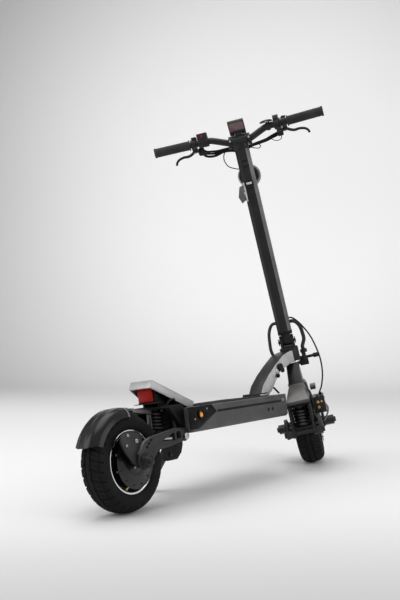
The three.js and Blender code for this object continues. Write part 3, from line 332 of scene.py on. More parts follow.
def braided():
    """Woven sleeve: two sets of strands that cross, in the tube's own coordinates."""
    shader = Shader("braided_sleeve", (0.02, 0.02, 0.021), 0.55)
    strands = []
    for slant in (1, -1):
        turned_by = (0, 0, slant * math.radians(42))
        wave = shader.add("ShaderNodeTexWave", {"wave_type": "BANDS"}, {
            "Vector": shader.place("UV", turn=turned_by), "Scale": 260})
        strands.append(wave)
    weave = strands[0] * strands[1]
    shader.colour(shader.mix(weave, (0.008, 0.008, 0.0085), (0.045, 0.045, 0.047)))
    shader.rough(0.62 - weave * 0.2)
    shader.bump(weave, 0.35, 0.8)
    return shader.material


grip_tape = gritty()
braid = braided()

# %% [markdown]
# Lenses are clear or coloured plastic over a bright reflector. A slightly rough surface with a coat reads as
# moulded plastic; only the headlight needs real see-through glass.


# %% Lenses and glass
def lens(name, colour, painted_glow=0.0, rib=2.2):
    """Coloured plastic with moulded ribs inside, and a faint painted glow for light that the reflector behind sends
    back.
    """
    shader = Shader(name, colour, 0.3, Coat_Weight=0.08, Coat_Roughness=0.1, Specular_IOR_Level=0.15)
    ribs = shader.add("ShaderNodeTexWave", {"wave_type": "BANDS", "bands_direction": "Y"}, {
        "Vector": shader.place(), "Scale": 0.31 / (rib * MM)})
    deeper = tuple(channel * 0.45 for channel in colour)
    shader.colour(shader.mix(ribs, deeper, colour))
    # A painted glow: emission in the lens colour that stands for light sent back by the reflector behind.
    if painted_glow:
        shader.feed(shader.skin, "Emission Color", (*colour, 1.0))
        shader.feed(shader.skin, "Emission Strength", painted_glow)
    return shader.material


def clear():
    shader = Shader("clear_lens", (0.9, 0.92, 0.94), 0.04, Transmission_Weight=0.9, IOR=1.49)
    shader.rough(shader.noise(6, 1) * 0.06 + 0.02)
    return shader.material


# The red lens also covers the horn button, so it glows too; both glows are painted.
red_lens = lens("red_lens", (0.42, 0.006, 0.004), 0.04)
amber_lens = lens("amber_lens", (0.75, 0.33, 0.05), 0.25, 3.0)
clear_lens = clear()
screen_glass = painted("screen_glass", (0.105, 0.057, 0.057), 0.22, 0.05, coat=0.3, uneven=0.03)
battery_wrap = painted("battery_wrap", (0.06, 0.16, 0.4), 0.4, 0.1, coat=0.3)
controller_case = brushed("controller_case", (0.5, 0.51, 0.52), 0.42)
print(len(bpy.data.materials), "materials")

# %% [markdown]
# ## Making a piece
# Every piece is drawn in millimetres in its own directions, then moved into the model's frame point by point, so
# its object stays at the origin. It rides on the body that carries it, and wears its finish.


# %% Helpers that make and finish a piece
SHARP = 38  # degrees: edges that bend more than this stay sharp, or get a bevel


def dress(piece, body, materials, smooth=SHARP):
    """Give a piece its finish and the body that it rides on. Materials that it already has stay."""
    for material in materials:
        piece.data.materials.append(material)
    piece.data.shade_smooth()
    piece.data.set_sharp_from_angle(angle=math.radians(smooth))
    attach(piece, body)
    return piece


def facing_out(bm):
    bmesh.ops.recalc_face_normals(bm, faces=bm.faces)
    return bm


def from_bmesh(name, bm, place=None):
    if place is not None:
        bm.transform(place)
    data = bpy.data.meshes.new(name)
    bm.to_mesh(data)
    bm.free()
    return linked(name, data)


def baked(piece):
    """Turn a piece's modifiers into plain mesh."""
    depsgraph = bpy.context.evaluated_depsgraph_get()
    data = bpy.data.meshes.new_from_object(piece.evaluated_get(depsgraph))
    piece.modifiers.clear()
    piece.data = data
    return piece


def soften(piece, width, segments=2):
    """A narrow bevel on each sharp edge."""
    bevel = piece.modifiers.new("edges", "BEVEL")
    bevel.width = width * MM
    bevel.segments = segments
    bevel.limit_method = "ANGLE"
    bevel.angle_limit = math.radians(SHARP)
    return baked(piece)


def closed_grid(bm, rows, loop_rows=False):
    """Faces between rows of points, each row a closed ring. The ends are closed, or joined to each other."""
    rings = [[bm.verts.new(point) for point in row] for row in rows]
    pairs = list(zip(rings, rings[1:]))
    if loop_rows:
        pairs.append((rings[-1], rings[0]))
    for low, high in pairs:
        count = len(low)
        for i in range(count):
            j = (i + 1) % count
            bm.faces.new((low[i], low[j], high[j], high[i]))
    if not loop_rows:
        bm.faces.new(list(reversed(rings[0])))
        bm.faces.new(rings[-1])
    return rings


def lathe(profile, sides=96):
    """A turned shape about the line along y: profile is a closed list of (radius, y)."""
    bm = bmesh.new()
    rows = []
    for step in range(sides):
        angle = 2 * math.pi * step / sides
        rows.append([(r * math.cos(angle), y, r * math.sin(angle)) for r, y in profile])
    closed_grid(bm, rows, loop_rows=True)
    bmesh.ops.remove_doubles(bm, verts=bm.verts, dist=1e-4)
    return facing_out(bm)


def smooth_route(points, step=4.0):
    """A Catmull-Rom curve through the points, sampled about every step millimetres."""
    points = [Vector(point) for point in points]
    ends = [2 * points[0] - points[1], *points, 2 * points[-1] - points[-2]]
    route = []
    for a, b, c, d in zip(ends, ends[1:], ends[2:], ends[3:]):
        count = max(2, round((c - b).length / step))
        for i in range(count):
            t = i / count
            route.append(0.5 * (2 * b + (c - a) * t + (2 * a - 5 * b + 4 * c - d) * t ** 2
                                + (3 * b - a - 3 * c + d) * t ** 3))
    route.append(points[-1])
    return route


def sweep(route, section, sides=16):
    """A tube along a route. section(t) gives its half width and half height at t from 0 to 1."""
    bm = bmesh.new()
    tangents = [(b - a).normalized() for a, b in zip(route, route[1:])]
    tangents = [tangents[0], *[(a + b).normalized() for a, b in zip(tangents, tangents[1:])], tangents[-1]]
    side = tangents[0].orthogonal().normalized()
    if abs(tangents[0].z) < 0.9:
        side = Vector((0, 0, 1)).cross(tangents[0]).normalized()
    rows = []
    for i, (point, along) in enumerate(zip(route, tangents)):
        side = (side - along * side.dot(along)).normalized()
        up = along.cross(side)
        half_wide, half_high = section(i / (len(route) - 1))
        rows.append([point + side * half_wide * math.cos(a) + up * half_high * math.sin(a)
                     for a in (2 * math.pi * k / sides for k in range(sides))])
    rings = closed_grid(bm, rows)
    lay_uv(bm, rings, route)
    return bm


def lay_uv(bm, rings, route):
    """UV in metres: round the tube, and along it."""
    uv = bm.loops.layers.uv.new("sleeve")
    run = [0.0]
    for a, b in zip(route, route[1:]):
        run.append(run[-1] + (b - a).length)
    spot = {}
    for row, ring in enumerate(rings):
        around = (ring[0].co - route[row]).length * 2 * math.pi / len(ring)
        for k, vert in enumerate(ring):
            spot[vert] = (k * around * MM, run[row] * MM)
    width = (rings[0][0].co - route[0]).length * 2 * math.pi * MM
    for face in bm.faces:
        cells = [spot[loop.vert] for loop in face.loops]
        wraps = max(c[0] for c in cells) - min(c[0] for c in cells) > width / 2
        for loop, (u, v) in zip(face.loops, cells):
            loop[uv].uv = (u + width if wraps and u < width / 2 else u, v)


def round_tube(radius):
    return lambda t: (radius, radius)


# %% [markdown]
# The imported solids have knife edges, and no real edge is sharp. A copy of a solid, with its loose triangles
# merged into whole faces and a narrow bevel on each edge, catches a line of light like a machined part does.


# %% Rounded copies of the solids
def rounded(node, material, width, segments=2, other=None):
    """A beveled copy of a solid that stands for it.

    other holds a second material, the directions to sort faces in, and a test of a face's normal and centre.
    """
    bm = bmesh.new()
    bm.from_mesh(frame["nodes"][node].data)
    bmesh.ops.remove_doubles(bm, verts=bm.verts, dist=0.02 * MM)
    bmesh.ops.dissolve_limit(bm, angle_limit=math.radians(0.6), verts=bm.verts, edges=bm.edges)
    piece = soften(from_bmesh(f"{node}_form", bm), width, segments)
    dress(piece, body_of[node], [material, *other[:1]] if other else [material])
    if other:
        _, directions, picks = other
        place = directions.inverted()
        turn = place.to_3x3().normalized()
        for face in piece.data.polygons:
            if picks((turn @ face.normal).normalized(), place @ face.center):
                face.material_index = 1
    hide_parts(node)
    return piece


# %% [markdown]
# ## Pieces that repeat
# Screws, coils and tread repeat by rule, so Geometry Nodes make them. A tree is a recipe with named inputs; the
# result is turned into plain mesh before the piece goes on the scooter.


# %% Helpers for node trees
class Recipe(Tree):
    """A Geometry Nodes tree with named inputs. Its pieces are joined and given a material at the end."""

    def __init__(self, name, **inputs):
        self.group = bpy.data.node_groups.new(name, "GeometryNodeTree")
        super().__init__(self.group)
        for label, kind in {"Geometry": "Geometry", **inputs}.items():
            self.group.interface.new_socket(label, in_out="INPUT", socket_type=f"NodeSocket{kind}")
        self.group.interface.new_socket("Geometry", in_out="OUTPUT", socket_type="NodeSocketGeometry")
        self.source = self.nodes.new("NodeGroupInput")
        self.sink = self.nodes.new("NodeGroupOutput")

    def given(self, label):
        return Value(self, self.source.outputs[label])

    def end(self, geometry, merge=0.0):
        whole = self.add("GeometryNodeRealizeInstances", inputs={"Geometry": geometry})
        if merge:
            whole = self.add("GeometryNodeMergeByDistance", inputs={"Geometry": whole, "Distance": merge})
        done = self.add("GeometryNodeSetMaterial", inputs={"Geometry": whole, "Material": self.given("Material")})
        self.links.new(done.socket, self.sink.inputs[0])
        return self

    def cook(self, piece, **values):
        """Run the recipe on a piece and keep the result as plain mesh."""
        modifier = piece.modifiers.new("recipe", "NODES")
        modifier.node_group = self.group
        for socket in self.group.interface.items_tree:
            if socket.in_out == "INPUT" and socket.name in values:
                modifier[socket.identifier] = values[socket.name]
        return baked(piece)


def empty_piece(name, points=(), **vectors):
    """A piece of loose points, with a named vector on each."""
    data = bpy.data.meshes.new(name)
    data.from_pydata([Vector(point) for point in points], [], [])
    for label, values in vectors.items():
        kind, field = ("FLOAT", "value") if isinstance(values[0], (int, float)) else ("FLOAT_VECTOR", "vector")
        layer = data.attributes.new(label, kind, "POINT")
        for item, value in zip(layer.data, values):
            setattr(item, field, value)
    return linked(name, data)


# %% [markdown]
# A socket-head screw is a short cylinder with a six-sided hole. One is drawn with a radius of 1 and copied to
# every place where the scooter has one, scaled to that screw's size and turned to face out.

# %% One screw head, and the recipe that places many
SCREW_SIDES = 24


def hexagon(angle, flat):
    """Distance to the side of a hexagon whose flats are this far out."""
    return flat / math.cos((angle + math.pi / 6) % (math.pi / 3) - math.pi / 6)


def screw_head():
    bm = bmesh.new()
    rows = []
    for radius, high, is_hex in ((1, 0, 0), (1, 0.5, 0), (0.9, 0.62, 0), (0.6, 0.62, 1), (0.52, 0.56, 1),
                                 (0.52, 0.2, 1), (0.02, 0.16, 0)):
        ring = []
        for i in range(SCREW_SIDES):
            angle = 2 * math.pi * i / SCREW_SIDES
            r = hexagon(angle, radius) if is_hex else radius
            ring.append((r * math.cos(angle), r * math.sin(angle), high))
        rows.append(ring)
    closed_grid(bm, rows)
    return from_bmesh("screw_pattern", facing_out(bm))


def screw_recipe():
    recipe = Recipe("screws_on_points", Material="Material", Screw="Object")
    outward = recipe.add("GeometryNodeInputNamedAttribute", {"data_type": "FLOAT_VECTOR"}, {"Name": "outward"})
    size = recipe.add("GeometryNodeInputNamedAttribute", {"data_type": "FLOAT"}, {"Name": "size"})
    facing = recipe.add("FunctionNodeAlignRotationToVector", {"axis": "Z"}, {"Vector": outward})
    screw = recipe.add("GeometryNodeObjectInfo", inputs={"Object": recipe.given("Screw")}, output="Geometry")
    points = recipe.add("GeometryNodeMeshToPoints", inputs={"Mesh": recipe.given("Geometry")})
    copies = recipe.add("GeometryNodeInstanceOnPoints", inputs={
        "Points": points, "Instance": screw, "Rotation": facing, "Scale": size})
    return recipe.end(copies)


screw = screw_head()
screw_tree = screw_recipe()


def screws(name, body, material, place, spots):
    """spots: (x, y, z, (direction), radius), in millimetres in the place's directions."""
    turn = place.to_3x3().normalized()
    piece = empty_piece(
        name, [place @ Vector(spot[:3]) for spot in spots],
        outward=[(turn @ Vector(spot[3])).normalized() for spot in spots],
        size=[spot[4] * MM for spot in spots])
    screw_tree.cook(piece, Material=material, Screw=screw)
    return dress(piece, body, [], 30)


def circle(count, radius, y, size, start=0.0):
    """Spots for screws in a ring about the line along y, facing away from the middle."""
    angles = (math.radians(start + 360 / count * k) for k in range(count))
    return [(radius * math.cos(a), y, radius * math.sin(a), (0, math.copysign(1, y), 0), size) for a in angles]


# %% [markdown]
# A coil spring is a helix with a round section, so it is a spiral curve swept by a circle.


# %% Coil springs
def spring_recipe():
    recipe = Recipe("coil_spring", Material="Material", Turns="Float", Radius="Float", Height="Float",
                    Wire="Float")
    helix = recipe.add("GeometryNodeCurveSpiral", inputs={
        "Resolution": 40, "Rotations": recipe.given("Turns"), "Start Radius": recipe.given("Radius"),
        "End Radius": recipe.given("Radius"), "Height": recipe.given("Height")})
    section = recipe.add("GeometryNodeCurvePrimitiveCircle", inputs={
        "Resolution": 12, "Radius": recipe.given("Wire")})
    coil = recipe.add("GeometryNodeCurveToMesh", inputs={
        "Curve": helix, "Profile Curve": section, "Fill Caps": True})
    return recipe.end(coil)


spring_tree = spring_recipe()


def coil(node, place, at, z, radius, wire, turns, material, joint, keep):
    piece = empty_piece(f"{node}_coil", [(0, 0, 0)])
    spring_tree.cook(piece, Material=material, Turns=float(turns), Radius=float(radius - wire),
                     Height=float(z[1] - z[0] - 2 * wire), Wire=float(wire))
    piece.data.transform(place @ Matrix.Translation((at, 0, z[0] + wire)))
    dress(piece, body_of[node], [], 60)
    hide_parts(node)
    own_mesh(piece)
    return piece


# %% [markdown]
# ## The tyres
# A tyre's tread is one short pitch repeated round it. One pitch is drawn as a fine grid over the tyre's section:
# the grid is pushed in where a groove runs. The recipe turns thirty copies about the axle and merges them.

# %% One pitch of tread, and a ring of them
PITCHES = 30
TYRE_SECTION = [(83.3, -33), (86.5, -37), (92, -39.2), (100, -40), (108, -39.4), (115, -36.6), (120.6, -32),
                (124.6, -26.5), (127.4, -20), (129.2, -12), (130, -4), (130, 4), (129.2, 12), (127.4, 20),
                (124.6, 26.5), (120.6, 32), (115, 36.6), (108, 39.4), (100, 40), (92, 39.2), (86.5, 37), (83.3, 33)]
GROOVE = 4.2


def ramp(value, low, high):
    t = min(1.0, max(0.0, (value - low) / (high - low)))
    return t * t * (3 - 2 * t)


def in_groove(distance, half):
    """1 in the middle of a groove, 0 outside it."""
    return 1 - ramp(abs(distance), half - 0.7, half + 0.7)


def tread_depth(pitch, y):
    """How far the tread is pushed in, at this share of a pitch (0 to 1) and this far across."""
    across = abs(y)
    fold = abs(2 * ((pitch + (0.5 if y < 0 else 0)) % 1) - 1)
    zigzag = in_groove(across - 7.5 - 2.2 * fold, 1.6)
    sweep_back = 0.5 * ((across - 8) / 30) ** 0.8 if across > 8 else 0
    offset = (pitch + (0.5 if y < 0 else 0) - sweep_back) % 1
    pitch_long = 2 * math.pi * 128 / PITCHES
    slanted = in_groove((offset - 0.5) * pitch_long, 2.3) * ramp(across, 8.5, 11) * (1 - ramp(across, 36.5, 38.5))
    sipe = in_groove(((offset + 0.5) % 1 - 0.5) * pitch_long, 0.9) * ramp(across, 14, 16) * (1 - ramp(across, 27, 29))
    outer = in_groove(across - 30.5, 0.9) * 0.6
    return GROOVE * max(zigzag, slanted, 0.55 * sipe, outer * (1 - slanted))


def tyre_pitch(samples=16):
    route = smooth_route([(r, y, 0) for r, y in TYRE_SECTION], 1.5)
    bm = bmesh.new()
    rows = []
    for i in range(samples + 1):
        angle = 2 * math.pi * i / samples / PITCHES
        row = []
        for spot in route:
            deep = tread_depth(i / samples % 1, spot.y) if spot.x > 112 else 0
            ring = 0.8 * in_groove(spot.x - 96, 1.2) + 0.5 * in_groove(spot.x - 104, 0.8) if spot.x < 112 else 0
            r = spot.x - deep * (1 if spot.x > 112 else 0)
            y = spot.y - math.copysign(deep * 0.25 if abs(spot.y) > 28 else 0, spot.y) + math.copysign(ring, spot.y)
            row.append(bm.verts.new((r * math.cos(angle), min(40, max(-40, y)), r * math.sin(angle))))
        rows.append(row)
    for low, high in zip(rows, rows[1:]):
        for j in range(len(low) - 1):
            bm.faces.new((low[j], high[j], high[j + 1], low[j + 1]))
    return from_bmesh("tread_pitch", facing_out(bm))


def ring_recipe():
    """Copies of a piece turned about the line along y."""
    recipe = Recipe("turned_copies", Material="Material", Pattern="Object", Count="Int")
    points = recipe.add("GeometryNodeMeshLine", inputs={
        "Count": recipe.given("Count"), "Offset": (0.0, 0.0, 0.0)})
    step = recipe.maths("DIVIDE", 2 * math.pi, recipe.given("Count"))
    angle = recipe.maths("MULTIPLY", step, recipe.add("GeometryNodeInputIndex"))
    turn = recipe.add("ShaderNodeCombineXYZ", inputs={"Y": angle})
    pattern = recipe.add("GeometryNodeObjectInfo", inputs={"Object": recipe.given("Pattern")}, output="Geometry")
    copies = recipe.add("GeometryNodeInstanceOnPoints", inputs={
        "Points": points, "Instance": pattern, "Rotation": turn})
    return recipe.end(copies, merge=0.02)


ring_tree = ring_recipe()


def ring_of(name, pattern, count, material, place):
    piece = empty_piece(name, [(0, 0, 0)])
    ring_tree.cook(piece, Material=material, Pattern=pattern, Count=count)
    piece.data.transform(place)
    return piece


pitch = tyre_pitch()
for end, place in WHEELS.items():
    tyre = ring_of(f"{end}_tyre_moulded", pitch, PITCHES, tyre_rubber, place)
    bm = bmesh.new()
    bm.from_mesh(tyre.data)
    facing_out(bm).to_mesh(tyre.data)
    bm.free()
    dress(tyre, f"{end}_wheel", [], 45)
    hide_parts(f"{end}_tyre")
bpy.data.objects.remove(pitch)
print("tyre faces:", len(tyre.data.polygons))

# %% [markdown]
# ## The hub motors
# The wheel has no spokes: the rim is cast on the motor's drum, and a stepped cover is screwed on each side. The
# rim's turned lip is the one bright ring on the wheel.


# %% Rim, covers, lip and valve
AXLE_BORE = 7.6
RIM_LIP = [(77.2, 32.9), (77.2, 31.4), (82.8, 32.2), (82.8, 33.4), (81.6, 34.0), (78.2, 33.7)]
VALVE_TURN = math.radians(-112)


def hub_profile():
    rim = [(76, -31), (81.8, -33), (83, -32.2), (83, -24), (75, -20), (75, 20), (83, 24), (83, 32.2), (81.8, 33),
           (76, 31)]
    right = [(AXLE_BORE, -44), (21, -44), (22, -43), (22.4, -39), (24, -38), (38, -36.4), (40, -35), (43, -28.4),
             (46, -26.6), (66, -24.6), (69, -25.2)]
    left = [(69, 25.2), (66, 24.6), (46, 26.6), (43, 28.4), (41, 36), (39, 39), (36, 40), (AXLE_BORE, 40)]
    return [*right, *rim, *left]


for end, place in WHEELS.items():
    body = f"{end}_wheel"
    hub = from_bmesh(f"{end}_hub_turned", lathe(hub_profile(), 128), place)
    dress(hub, body, [motor_black], 32)
    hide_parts(f"{end}_motor_hub")
    for side, word in SIDES:
        lip = lathe([(r, side * y) for r, y in RIM_LIP], 128)
        dress(from_bmesh(f"{end}_rim_lip_{word}", lip, place), body, [ring_silver], 50)
    screws(f"{end}_cover_screws", body, steel, place, [
        *circle(8, 54, -25.9, 2.6, 20), *circle(8, 54, 25.9, 2.6, 20), *circle(6, 16.5, -48.2, 2.8)])
    stem = [(r * math.cos(VALVE_TURN), y, r * math.sin(VALVE_TURN)) for r, y in ((76, -24), (70, -30), (64, -37))]
    bm = sweep(smooth_route(stem, 2), lambda t: (2.6, 2.6) if t > 0.55 else (3.6, 3.6), 12)
    dress(from_bmesh(f"{end}_valve", bm, place), body, [gold_screw], 40)

# %% [markdown]
# ## Rounded parts
# Each cast, bent or machined part keeps its solid's shape and gets soft edges. The width of the bevel says how
# it was made: a casting has 2 to 3 mm, a machined block 1 mm, and a moulded cap 1.5 mm.

# %% Parts that keep their shape
ROUNDED = {
    "rear_pivot_bolt": (steel, 0.6), "rear_axle": (satin_black, 1.2), "front_pivot_bolt": (satin_black, 0.6),
    "front_axle": (satin_black, 1.2),
    "rear_bracket": (black_and_painted_shade, 0.8), "rear_cap_right": (cap_black, 1.1), "rear_cap_left": (cap_black, 1.1),
    "battery_pack": (battery_wrap, 2.5), "motor_controller": (controller_case, 2.0),
    "side_light_right": (amber_lens, 0.9), "side_light_left": (amber_lens, 0.9),
    "tail_light_lens": (red_lens, 2.4), "kickstand": (satin_black, 1.2),
    "front_caliper": (satin_black, 2.4),
    "fold_base": (matt_black, 1.2), "lock_block": (matt_black, 2.0), "fold_lever": (matt_black, 0.8),
    "stem_head": (satin_black, 1.4), "display_case": (matt_black, 2.2),
    "headlight_case": (gloss_black, 1.2), "headlight_lens": (clear_lens, 0.8),
    "throttle_pod": (matt_black, 1.5), "throttle_lever": (matt_black, 0.8), "switch_pod": (matt_black, 2.0),
    "horn_button": (red_lens, 1.0), "bell_striker": (steel, 0.4), "stem_hook": (steel, 1.6),
    "brake_clamp_left": (satin_black, 1.2), "brake_clamp_right": (satin_black, 1.2),
}
for node, (material, width) in ROUNDED.items():
    rounded(node, material, width)
print(len(ROUNDED), "parts rounded")

# %% [markdown]
# Some parts wear two finishes. The faces are sorted by where they point: the neck's side plates are bright and its
# spine is grey. The swing arms' top faces, the stem's right rear chamfer and the fork's sloping back get a paler
# paint as a painted highlight, and faces under the deck a near-black as painted shade.


# %% Parts with two finishes
# Painted highlight: the swing arms' upward faces take a pale grey where light falls on them from above.
def lit_top_faces(normal, centre):
    return normal.z > 0.55 and abs(normal.y) < 0.5 and abs(centre.y) > 66


def neck_sides(normal, centre):
    return abs(normal.y) > 0.8 and centre.x < 880


# Painted highlight: the fork's upward-facing sloping back takes a lighter grey than its column.
def lit_fork_back(normal, centre):
    return normal.z > 0.7 and -200 < centre.x < -80 and centre.z < 300


# Painted highlight: the stem's faces towards the right rear take a pale metallic streak of reflected light.
def stem_highlight_faces(normal, centre):
    return normal.y < -0.25 and normal.x < -0.25 and abs(normal.z) < 0.3


# Painted shade: faces under the deck take a near-black.
def shaded_underside(normal, centre):
    return centre.z < 179


rounded("deck_shell", graphite, 1.6, other=(black_and_painted_shade, CHASSIS, shaded_underside))
rounded("rear_swing_arm", arm_grey, 1.5, other=(pale_grey_and_arm_highlight, CHASSIS, lit_top_faces))
rounded("front_swing_arm", arm_grey, 1.5, other=(pale_grey_and_arm_highlight, STEERING, lit_top_faces))
rounded("neck", neck_grey, 2.6, 3, other=(neck_silver, CHASSIS, neck_sides))
rounded("fork_crown", satin_black, 2.4, 3, other=(fork_grey_and_highlight, STEERING, lit_fork_back))
rounded("stem_tube", satin_black, 1.4, 3, other=(pale_metal_and_stem_highlight, STEERING, stem_highlight_faces))
rounded("kickplate", plate_white, 1.6, 3)

# %% [markdown]
# ## The springs
# Each sleeve that held a spring's place gives way to a wound coil. It keeps the sleeve's radius and length, so it
# still sits on its seats.

# %% Two coils
coil("rear_spring", CHASSIS, 154, (195, 255), 24, 4.6, 5.2, spring_black, "rear_suspension", 0.955)
coil("front_spring", STEERING, -166, (171.5, 240), 28, 5.2, 5.4, spring_black, "front_suspension", 0.93)

# %% [markdown]
# ## Plates, blocks and rods
# Brackets, strips and caps are flat outlines with a thickness. One helper pushes an outline along an axis and
# softens its edges; another makes round bars and discs between two points.


# %% Helpers for small made parts
def pushed(outline, span, along="y"):
    """An outline in the two other directions, pushed from span[0] to span[1]."""
    order = {"x": lambda a, b, t: (t, a, b), "y": lambda a, b, t: (a, t, b), "z": lambda a, b, t: (a, b, t)}[along]
    bm = bmesh.new()
    closed_grid(bm, [[order(a, b, t) for a, b in outline] for t in span])
    return facing_out(bm)


def oblong(x, z, corner=0.0, steps=4):
    """A rectangle's outline, with round corners if asked."""
    if not corner:
        return [(x[0], z[0]), (x[1], z[0]), (x[1], z[1]), (x[0], z[1])]
    points = []
    for cx, cz, start in ((x[1] - corner, z[0] + corner, -90), (x[1] - corner, z[1] - corner, 0),
                          (x[0] + corner, z[1] - corner, 90), (x[0] + corner, z[0] + corner, 180)):
        for k in range(steps + 1):
            angle = math.radians(start + 90 * k / steps)
            points.append((cx + corner * math.cos(angle), cz + corner * math.sin(angle)))
    return points


def made(name, bm, place, body, material, edge=0.6, smooth=SHARP):
    """A small part in its finish and on its body. Its edges are softened by edge, in millimetres."""
    piece = from_bmesh(name, bm, place)
    if edge:
        soften(piece, edge)
    return dress(piece, body, [material], smooth)


def bar(a, b, radius, sides=24):
    a, b = Vector(a), Vector(b)
    return sweep([a, (a + b) / 2, b], round_tube(radius), sides)


def joined(*parts):
    """Several shapes as one mesh."""
    whole = bmesh.new()
    for part in parts:
        data = bpy.data.meshes.new("part")
        part.to_mesh(data)
        part.free()
        whole.from_mesh(data)
        bpy.data.meshes.remove(data)
    return whole


# %% [markdown]
# ## The fenders
# The rear fender is thin glossy plastic moulded round the tyre, with three raised ribs that run along it. Its
# section is drawn once and carried round an arc, and each rib is a soft bump in that section.

# %% A shell round a wheel
RIBS = (-21.0, 0.0, 21.0)


def shell_section(corners, skin, ribs):
    """Outer points from right to left with ribs, then inner points back."""
    right = [(-fall, -y, 0) for fall, y in corners]
    left = [(-fall, y, 0) for fall, y in reversed(corners)]
    line = smooth_route([*right, *left], 1.6)
    outside, inside = [], []
    for i, point in enumerate(line):
        along = (line[min(i + 1, len(line) - 1)] - line[max(i - 1, 0)]).normalized()
        out = Vector((along.y, -along.x, 0))
        bump = sum(1.2 * (1 - ramp(abs(point.y - rib), 0.6, 2.6)) for rib in ribs)
        outside.append(point + out * bump)
        inside.append(point - out * skin)
    return outside + inside[::-1]


def shell(centre, crown, corners, angles, skin=2.4, ribs=(), trim=4.0, steps=60):
    """A section carried round a wheel's centre between two angles. trim rounds off its ends' corners."""
    section = shell_section(corners, skin, ribs)
    wide = max(abs(point.y) for point in section)
    rows = []
    for i in range(steps + 1):
        row = []
        for point in section:
            pull = trim * (point.y / wide) ** 2
            low, high = angles[0] + pull * 0.4, angles[1] - pull
            angle = math.radians(low + (high - low) * i / steps)
            r = crown + point.x
            row.append((centre[0] + r * math.cos(angle), point.y, centre[1] + r * math.sin(angle)))
        rows.append(row)
    bm = bmesh.new()
    closed_grid(bm, rows)
    return facing_out(bm)


REAR_FENDER = (-11, 133)
REAR_CROWN = 139
CORNERS = ((27, 44), (13, 38), (4, 28), (0.6, 14))
CLIP_CORNERS = ((27, 45), (13, 39.2), (4, 29), (0.6, 14))
FRONT_CORNERS = ((9, 31), (3, 28), (0.4, 20))
LEAVE = math.radians(81)  # where the tongue leaves the shell, as a straight strip towards the bracket
TONGUE_END = 118
TONGUE_HALF = 17


def tongue_line(radius, x):
    """How high the tongue is at x, on the straight line that touches the arc of this radius."""
    return REAR_FENDER[1] + (radius - (x - REAR_FENDER[0]) * math.cos(LEAVE)) / math.sin(LEAVE)


def strip(x, top, bottom, y):
    outline = [(x[0], tongue_line(bottom, x[0])), (x[1], tongue_line(bottom, x[1])),
               (x[1], tongue_line(top, x[1])), (x[0], tongue_line(top, x[0]))]
    return pushed(outline, y)


fender = made("rear_fender_shell", shell(REAR_FENDER, REAR_CROWN, CORNERS, (84, 159), ribs=RIBS), CHASSIS,
              "rear_arm", gloss_black, 0, 50)
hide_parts("rear_fender")
made("rear_fender_tongue", joined(
    strip((2, TONGUE_END), REAR_CROWN, REAR_CROWN - 3, (-TONGUE_HALF, TONGUE_HALF)),
    strip((42, TONGUE_END), REAR_CROWN - 2, REAR_CROWN - 10, (-TONGUE_HALF, 2.4 - TONGUE_HALF)),
    strip((42, TONGUE_END), REAR_CROWN - 2, REAR_CROWN - 10, (TONGUE_HALF - 2.4, TONGUE_HALF)),
    pushed(oblong((TONGUE_END - 3, TONGUE_END), (195, 250.5)), (-15, -1)),
    pushed(oblong((TONGUE_END - 3, 125.5), (195, 198.3)), (-15, -1))),
    CHASSIS, "rear_arm", pale_metal_and_stem_highlight, 0.7)
clip = shell(REAR_FENDER, REAR_CROWN + 1.2, CLIP_CORNERS, (84.5, 87.5), skin=1.2, trim=0, steps=4)
made("rear_fender_clip", clip, CHASSIS, "rear_arm", pale_grey_and_arm_highlight, 0.3)
slope = (math.cos(LEAVE), 0, math.sin(LEAVE))
screws("fender_screws", "rear_arm", steel, CHASSIS, [
    (x, y, tongue_line(REAR_CROWN, x) - 0.4, slope, r)
    for x, y, r in ((22, -10, 4.6), (22, 10, 4.6), (48, -9, 5.4), (48, 9, 5.4), (106, 0, 3.6))])
front_shell = made("front_fender_shell", shell(
    FRONT_AXLE[::2], 159, FRONT_CORNERS, (38, 99.6), trim=0, steps=40),
    STEERING, "steering", gloss_black, 0, 50)
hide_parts("front_fender")

# %% [markdown]
# ## Hub faces and brakes
# The brake disc hides behind a dark stepped cover, so the wheel's face reads as one glossy dish with a boss.
# The rear caliper shows a round slotted cap on a grey bracket.

# %% Covers over the discs
DISC_COVER = [(AXLE_BORE, -48.2), (26, -48.2), (28, -47.6), (30, -47.9), (50, -47.6), (52, -46.6), (66, -46.2),
              (69.6, -45.9), (70, -45.6), (69, -45.2), (AXLE_BORE, -45.8)]
for end, place in WHEELS.items():
    dish_piece = made(f"{end}_disc_cover", lathe(DISC_COVER, 128), place, f"{end}_wheel",
                      motor_black, 0, 30)
    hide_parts(f"{end}_brake_disc")
    screws(f"{end}_disc_screws", f"{end}_wheel", satin_black, place, circle(12, 60, -46.5, 2.2, 15))

# %% The rear caliper's cap
CAP = (-16, 184)
rounded("rear_caliper", satin_black, 1.2, other=(
    arm_grey, CHASSIS, lambda normal, centre: normal.y < -0.6 and centre.y < -68.5))
cap_place = CHASSIS @ Matrix.Translation((CAP[0], -66.2, CAP[1]))
made("caliper_cap", lathe([(0.4, -3.2), (19, -3.2), (20.5, -2.0), (21, 0), (22.5, 0.4), (24, -1.4), (26.2, -1.4),
                           (27, 0), (27, 4), (0.4, 4)], 64), cap_place, "rear_arm", arm_grey, 0, 30)
